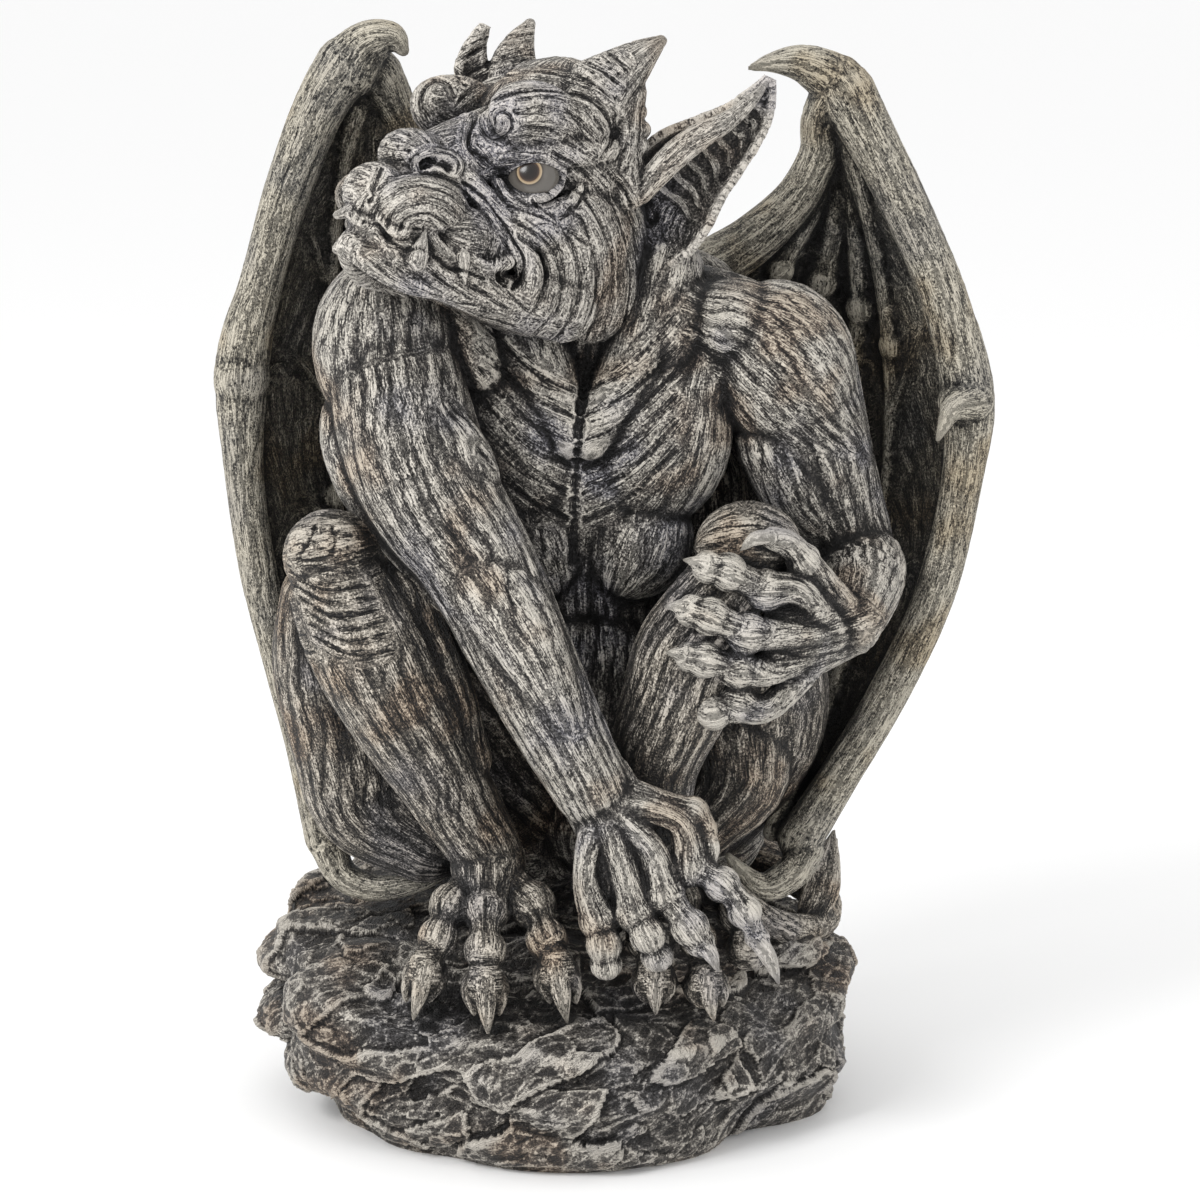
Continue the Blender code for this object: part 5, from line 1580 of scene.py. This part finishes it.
for reach in range(48, 160, 18):
    mark(1.3, -1.1, 4.5, arc(500, 280, reach * 0.95, reach, -70, 50, 6))
for reach in range(24, 84, 15):
    mark(1.2, -0.5, 4, arc(424, 234, reach * 1.0, reach * 0.86, 185, 318, 8))
for shift in range(0, 5):
    mark(1.1, -0.5, 4.0, [(372 + 30 * shift, 262 + 5 * shift), (392 + 32 * shift, 276 + 7 * shift),
                          (424 + 32 * shift, 292 + 8 * shift), (460 + 30 * shift, 298 + 8 * shift)])
mark(1.6, -1.6, 3, [(381, 170), (375, 186), (368, 202)])
mark(2.6, -4.6, 3, [(424, 164), (434, 160), (446, 163), (452, 170)])
mark(1.2, 0.9, 3, arc(437, 166, 24, 15, 150, 400))
mark(2.6, -5.0, 0, [(499, 279), (504, 283)])
mark(1.0, -1.4, 0, [(363, 222), (378, 226), (390, 240), (404, 250), (420, 248), (436, 258), (450, 268), (468, 272),
                    (484, 278)])
mark(3.0, -4.0, 0, [(648, 208), (652, 218)])
print("the face has", len(FACE_STROKES), "marks")

# %% The head
head_clay = Clay()
add_skull(head_clay)
for half in (1, -1):
    add_face(head_clay, half)
    add_tusks(head_clay, half)
add_horns(head_clay)
add_ears(head_clay)
neck_plug = ((594, 290, 5, 66), (580, 220, -15, 64))
limb(head_clay, *neck_plug)
add_beads(head_clay, [(on_face(*s[:3]), s[3]) for s in NEAR_HORN], 9, 1.05, 0.1)
add_beads(head_clay, on_view(FAR_HORN), 8, 1.05, 0.1)
head = one_skin("gargoyle_head", head_clay, 0.00082, 2)


MOST = 192000


def sculpt(skin, clay, strokes, spots, fineness=1.0, fine=(), calm=(), **sizes):
    """Strokes, strands, pits, thinning and what the paint needs, on one skin."""
    grain = grain_of(points_of(skin.data) / UNIT, clay)
    carve_strokes(skin.data, strokes, grain)
    cut_strands(skin.data, grain, fineness, calm)
    pit(skin, spots, **sizes)
    thinned(skin, MOST, fine)
    measure_for_paint(skin.data)
    skin.data.shade_smooth()


NOSE_AND_EAR = ((on_face(404, 150, 10), 30), (seen(652, 250, -80), 44), (seen(745, 118, -50), 30),
                (on_face(600, 70, 60), 46), (on_face(640, 130, 70), 24))
NEAR_EYE, FAR_EYE = on_face(*EYE_MIDDLE), on_face(*EYE_MIDDLE, -1)
FACE = ((seen(470, 220, -90), 170),)
sculpt(head, head_clay, FACE_STROKES, NOSE_AND_EAR, 0.65, FACE, ((NEAR_EYE, 44), (FAR_EYE, 44)), Radius=0.0012,
       Depth=0.0008)

# %% The body
BODY_STROKES = []
for mirror in (1, -1):
    for step in range(6):
        rise = 26 * step
        rib = [(578 + reach * mirror, row - rise) for reach, row in ((6, 520), (50, 498), (96, 452))]
        BODY_STROKES.append((rib, 1.5, -1.0, 5))
BODY_STROKES.append(([(588, 350), (580, 420), (574, 500), (574, 560)], 2.2, -2.2, 4))
body_clay = Clay()
for add in (add_trunk, add_neck, add_right_arm, add_left_arm, add_right_hand, add_left_hand):
    add(body_clay)
ridge = on_view(BACK_RIDGE)
tube(body_clay, ridge)
add_beads(body_clay, [(place + Vector((0, 8, 0)), radius) for place, radius in ridge], 15, 1.05, 1.0)
body = one_skin("gargoyle_body", body_clay, 0.00112, 2)
HANDS = ((seen(650, 900, -210), 120), (seen(740, 640, -170), 110))
sculpt(body, body_clay, BODY_STROKES, (), fine=HANDS)

# %% The legs and the tail
KNEE_CRACKS = ((1.0, -1.3, [(314, 528), (308, 542), (299, 556)]), (1.0, -1.3, [(297, 560), (312, 560), (327, 557)]),
               (1.0, -1.3, [(332, 528), (335, 541), (331, 555)]), (0.9, -1.0, [(334, 541), (342, 536), (350, 536)]))
LEG_STROKES = [(line, width, depth, 0) for width, depth, line in KNEE_CRACKS]
for step in range(6):
    down = 13 * step
    fold = [(290 + 5 * step, 572 + down), (322 + 6 * step, 590 + down), (362 + 5 * step, 584 + down)]
    LEG_STROKES.append((fold, 1.2, -0.9, 5))
leg_clay = Clay()
for add in (add_right_leg, add_left_leg):
    add(leg_clay)
add_foot(leg_clay, RIGHT_ANKLE, RIGHT_TOES)
add_foot(leg_clay, LEFT_ANKLE, LEFT_TOES)
add_tail(leg_clay)
add_beads(leg_clay, on_view(TAIL_PATH), 44, 1.08, 0.22)
legs = one_skin("gargoyle_legs_and_tail", leg_clay, 0.00112, 2)
FEET = ((seen(500, 970, -190), 120), (seen(680, 970, -190), 80))
sculpt(legs, leg_clay, LEG_STROKES, ((seen(332, 540, -150), 44),), fine=FEET, Radius=0.0011, Depth=0.0006)

# %% The wings
wing_clay = Clay()
add_left_wing(wing_clay)
add_right_wing(wing_clay)
bridge_between = ((650, 330, 95, 30), (600, 330, 92, 30), (540, 340, 95, 30))
limb(wing_clay, *bridge_between, kind=BONE)
wings = one_skin("gargoyle_wings", wing_clay, 0.00125, 2)
WING_KNUCKLES = ((seen(840, 90, 80), 70), (seen(968, 400, 20), 50), (seen(806, 850, -10), 46),
                 (seen(350, 66, 60), 70), (seen(242, 372, 20), 50), (seen(330, 850, -10), 46))
sculpt(wings, wing_clay, [], WING_KNUCKLES, Radius=0.0011, Depth=0.0006, Density=50000.0)

# %% [markdown]
# ## The rock's broken faces
#
# Slate breaks into tilted slabs. The skin of the rock is shared out among scattered middles, each
# with its own height and tilt, so that the borders between them are ledges. The measure is squeezed along
# the layers, which rise to one side, so the slabs come out long and flat.

# %% The rock
rock_clay = Clay()
add_rock(rock_clay)
rock = one_skin("gargoyle_rock", rock_clay, 0.00125, 3)


def layered(places):
    """Places measured along the rock's layers, in mm, with the height stretched."""
    tilt = math.radians(20)
    x, y, z = (places * MM).T
    bend = (cloud(places * MM / 26 + 7) - 0.5) * 12
    drift = (cloud(places * MM / 12 + 70) - 0.5) * 6
    return np.stack([(x * math.cos(tilt) + z * math.sin(tilt) + drift) / 2.0, (y + bend) / 1.4,
                     (z * math.cos(tilt) - x * math.sin(tilt) + drift + bend * 0.3) * 1.15], 1)


def broken(places, across, seed):
    """The height of tilted slabs about so many mm across, and how near each place is to a ledge."""
    measured = layered(places)
    low = measured.min(0)
    cells = np.floor((measured - low) / across).astype(np.int64)
    best = np.full(len(places), 1e9)
    second = np.full(len(places), 1e9)
    height = np.zeros(len(places))
    for x in (-1, 0, 1):
        for y in (-1, 0, 1):
            for z in (-1, 0, 1):
                cell = cells + (x, y, z)
                key = [lattice(cell[:, 0] + seed, cell[:, 1] + 31 * k, cell[:, 2] + 17 * k) for k in range(6)]
                middle = low + (cell + np.stack(key[:3], 1)) * across
                offset = measured - middle
                away = np.sqrt((offset**2).sum(1))
                lean = (key[4] - 0.5) * offset[:, 0] + (key[5] - 0.5) * offset[:, 1]
                plane = (key[3] - 0.5) * 2 + lean / across * 2.2
                nearer = away < best
                second = np.where(nearer, best, np.minimum(second, away))
                height = np.where(nearer, plane, height)
                best = np.where(nearer, away, best)
    return height, second - best


places, normals = points_of(rock.data), normals_of(rock.data)
rock_sky = open_sky(places, normals, lift=0.006)
big, big_edge = broken(places, 24, 3)
small, small_edge = broken(places, 10, 11)
tiny, tiny_edge = broken(places, 5, 23)
lift = 2.2 * big + 0.9 * small + 0.35 * tiny + 0.5 * (cloud(places * MM / 2.6) - 0.5)
lift *= np.clip(places[:, 2] / 0.006, 0, 1)
put_points(rock.data, places + normals * (lift / MM)[:, None])
store(rock.data, "border", np.minimum(np.minimum(big_edge * 0.6, small_edge), tiny_edge * 1.6))
flat_grain = layered(places)
store(rock.data, "strands", np.stack([flat_grain[:, 2] / 3.1, flat_grain[:, 2] / 4.7, cloud(places * MM / 9)], 1))
store(rock.data, "grain", np.stack([flat_grain[:, 2] / 2, flat_grain[:, 0], flat_grain[:, 1] / 9], 1))
measure_for_paint(rock.data, rock_sky)
form = bmesh.new()
form.from_mesh(rock.data)
bmesh.ops.bisect_plane(form, geom=form.verts[:] + form.edges[:] + form.faces[:], plane_co=(0, 0, 0.00001),
                       plane_no=(0, 0, -1), clear_outer=True)
bmesh.ops.holes_fill(form, edges=[edge for edge in form.edges if edge.is_boundary])
form.to_mesh(rock.data)
form.free()
rock.data.shade_smooth()

# %% [markdown]
# ## The eyes
#
# The eyes are the one glossy place: a cream ring round a near-black pupil, on a greyish ball.
# Round the ring the ball is dark and lightens outwards: the iris's dark rim, and painted shadow of
# the lids. The rings are drawn by the distance from the point where the sight line meets the ball,
# so they stay round.

# %% Painted eyes
def iris_paint():
    """Rings round each eye's own middle, by the distance that is stored on the ball."""
    material = bpy.data.materials.new("painted_glossy_resin_eye")
    material.use_nodes = True
    tree = material.node_tree
    shader = tree.nodes["Principled BSDF"]
    shader.inputs["Roughness"].default_value = 0.22
    shader.inputs["IOR"].default_value = 1.5
    # Past the cream ring a dark band fades out into the grey ball: the iris's dark rim, and painted shadow of the lids.
    rings = ((0.0, "#0D0907"), (0.44, "#1D1410"), (0.57, "#38281F"), (0.62, "#8A7358"), (0.71, "#A8967A"),
             (0.77, "#332D28"), (0.86, "#504B46"), (1.0, "#5E5A55"))
    ring_colour = banded(tree, attribute(tree, "from_middle").outputs["Fac"], rings)
    tree.links.new(ring_colour, shader.inputs["Base Color"])
    return material


form = bmesh.new()
for half in (1, -1):
    ball = bmesh.ops.create_uvsphere(form, u_segments=64, v_segments=40, radius=EYE_RADIUS)
    for vert in ball["verts"]:
        vert.co += on_face(*EYE_MIDDLE, half)
bmesh.ops.scale(form, vec=(UNIT,) * 3, verts=form.verts)
eyes = settled("painted_eyes", form)
mesh = eyes.data
IRIS_AT, IRIS_WIDE, IRIS_RING = (529, 171), 12.5, 0.75
places = points_of(mesh) / UNIT
from_middle = np.ones(len(places))
for half in (1, -1):
    away = np.sqrt(((places - np.array(on_ball(*IRIS_AT, 0, half)))**2).sum(1)) / (IRIS_WIDE / IRIS_RING)
    from_middle = np.minimum(from_middle, away)
store(mesh, "from_middle", from_middle)
mesh.shade_smooth()
print("each eye is", round(EYE_RADIUS * 2 * UNIT * MM, 1), "mm across")

# %% Paint on, and what each piece stands for
for piece, paint in ((head, HEAD_PAINT), (body, FLESH_PAINT), (legs, LEG_PAINT), (wings, WING_PAINT),
                     (rock, ROCK_PAINT), (eyes, iris_paint())):
    piece.data.materials.clear()
    piece.data.materials.append(paint)
    put_points(piece.data, points_of(piece.data))
    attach(piece, "root")
    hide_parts(STATUE)
    piece.data.calc_loop_triangles()
    print(piece.name, len(piece.data.loop_triangles), "triangles")

# %% [markdown]
# ## Floor, light and eye
#
# The photograph is a plain studio picture: a white floor, soft light from the left and the front, and an eye
# a little above the statue.

# %% Floor and light
def floor_paint():
    """Matt studio paper."""
    material = bpy.data.materials.new("pale_studio_floor")
    material.use_nodes = True
    shader = material.node_tree.nodes["Principled BSDF"]
    shader.inputs["Base Color"].default_value = colour("#FAFAFA")
    shader.inputs["Roughness"].default_value = 0.95
    return material


form = bmesh.new()
FLOOR_REACH = 40
bmesh.ops.create_circle(form, cap_ends=True, segments=64, radius=FLOOR_REACH)
floor = settled("studio_floor", form)
floor.data.materials.append(floor_paint())
print("the floor reaches", FLOOR_REACH, "m to each side")

world = bpy.data.worlds.new("studio")
bpy.context.scene.world = world
world.use_nodes = True
world.node_tree.nodes["Background"].inputs["Color"].default_value = colour("#FFFFFF")
world.node_tree.nodes["Background"].inputs["Strength"].default_value = 1.0


def softbox(name, place, aim, wide, power):
    """A square area light that looks at a place."""
    light = bpy.data.lights.new(name, "AREA")
    light.shape, light.size, light.energy = "SQUARE", wide, power
    lamp = bpy.data.objects.new(name, light)
    lamp.location = place
    lamp.rotation_euler = (Vector(aim) - Vector(place)).to_track_quat("-Z", "Y").to_euler()
    bpy.context.scene.collection.objects.link(lamp)


CHEST = (0, 0, 0.26)
softbox("key", (-1.3, -1.2, 1.5), CHEST, 0.8, 26)
softbox("fill", (1.6, -1.6, 0.9), CHEST, 1.4, 5)

# %% The eye
lens = bpy.data.cameras.new("front_view")
SENSOR_MM = 36
lens.sensor_width, lens.lens = SENSOR_MM, SENSOR_MM * VIEW_DISTANCE / FRAME_WIDE
camera = bpy.data.objects.new("front_view", lens)
bpy.context.scene.collection.objects.link(camera)
camera.location = EYE * UNIT
camera.rotation_euler = (Vector((0, 0, VIEW_HEIGHT * UNIT)) - EYE * UNIT).to_track_quat("-Z", "Y").to_euler()
bpy.context.scene.camera = camera
bpy.context.scene.view_settings.view_transform = "Standard"

# %% The end
bpy.context.view_layer.update()
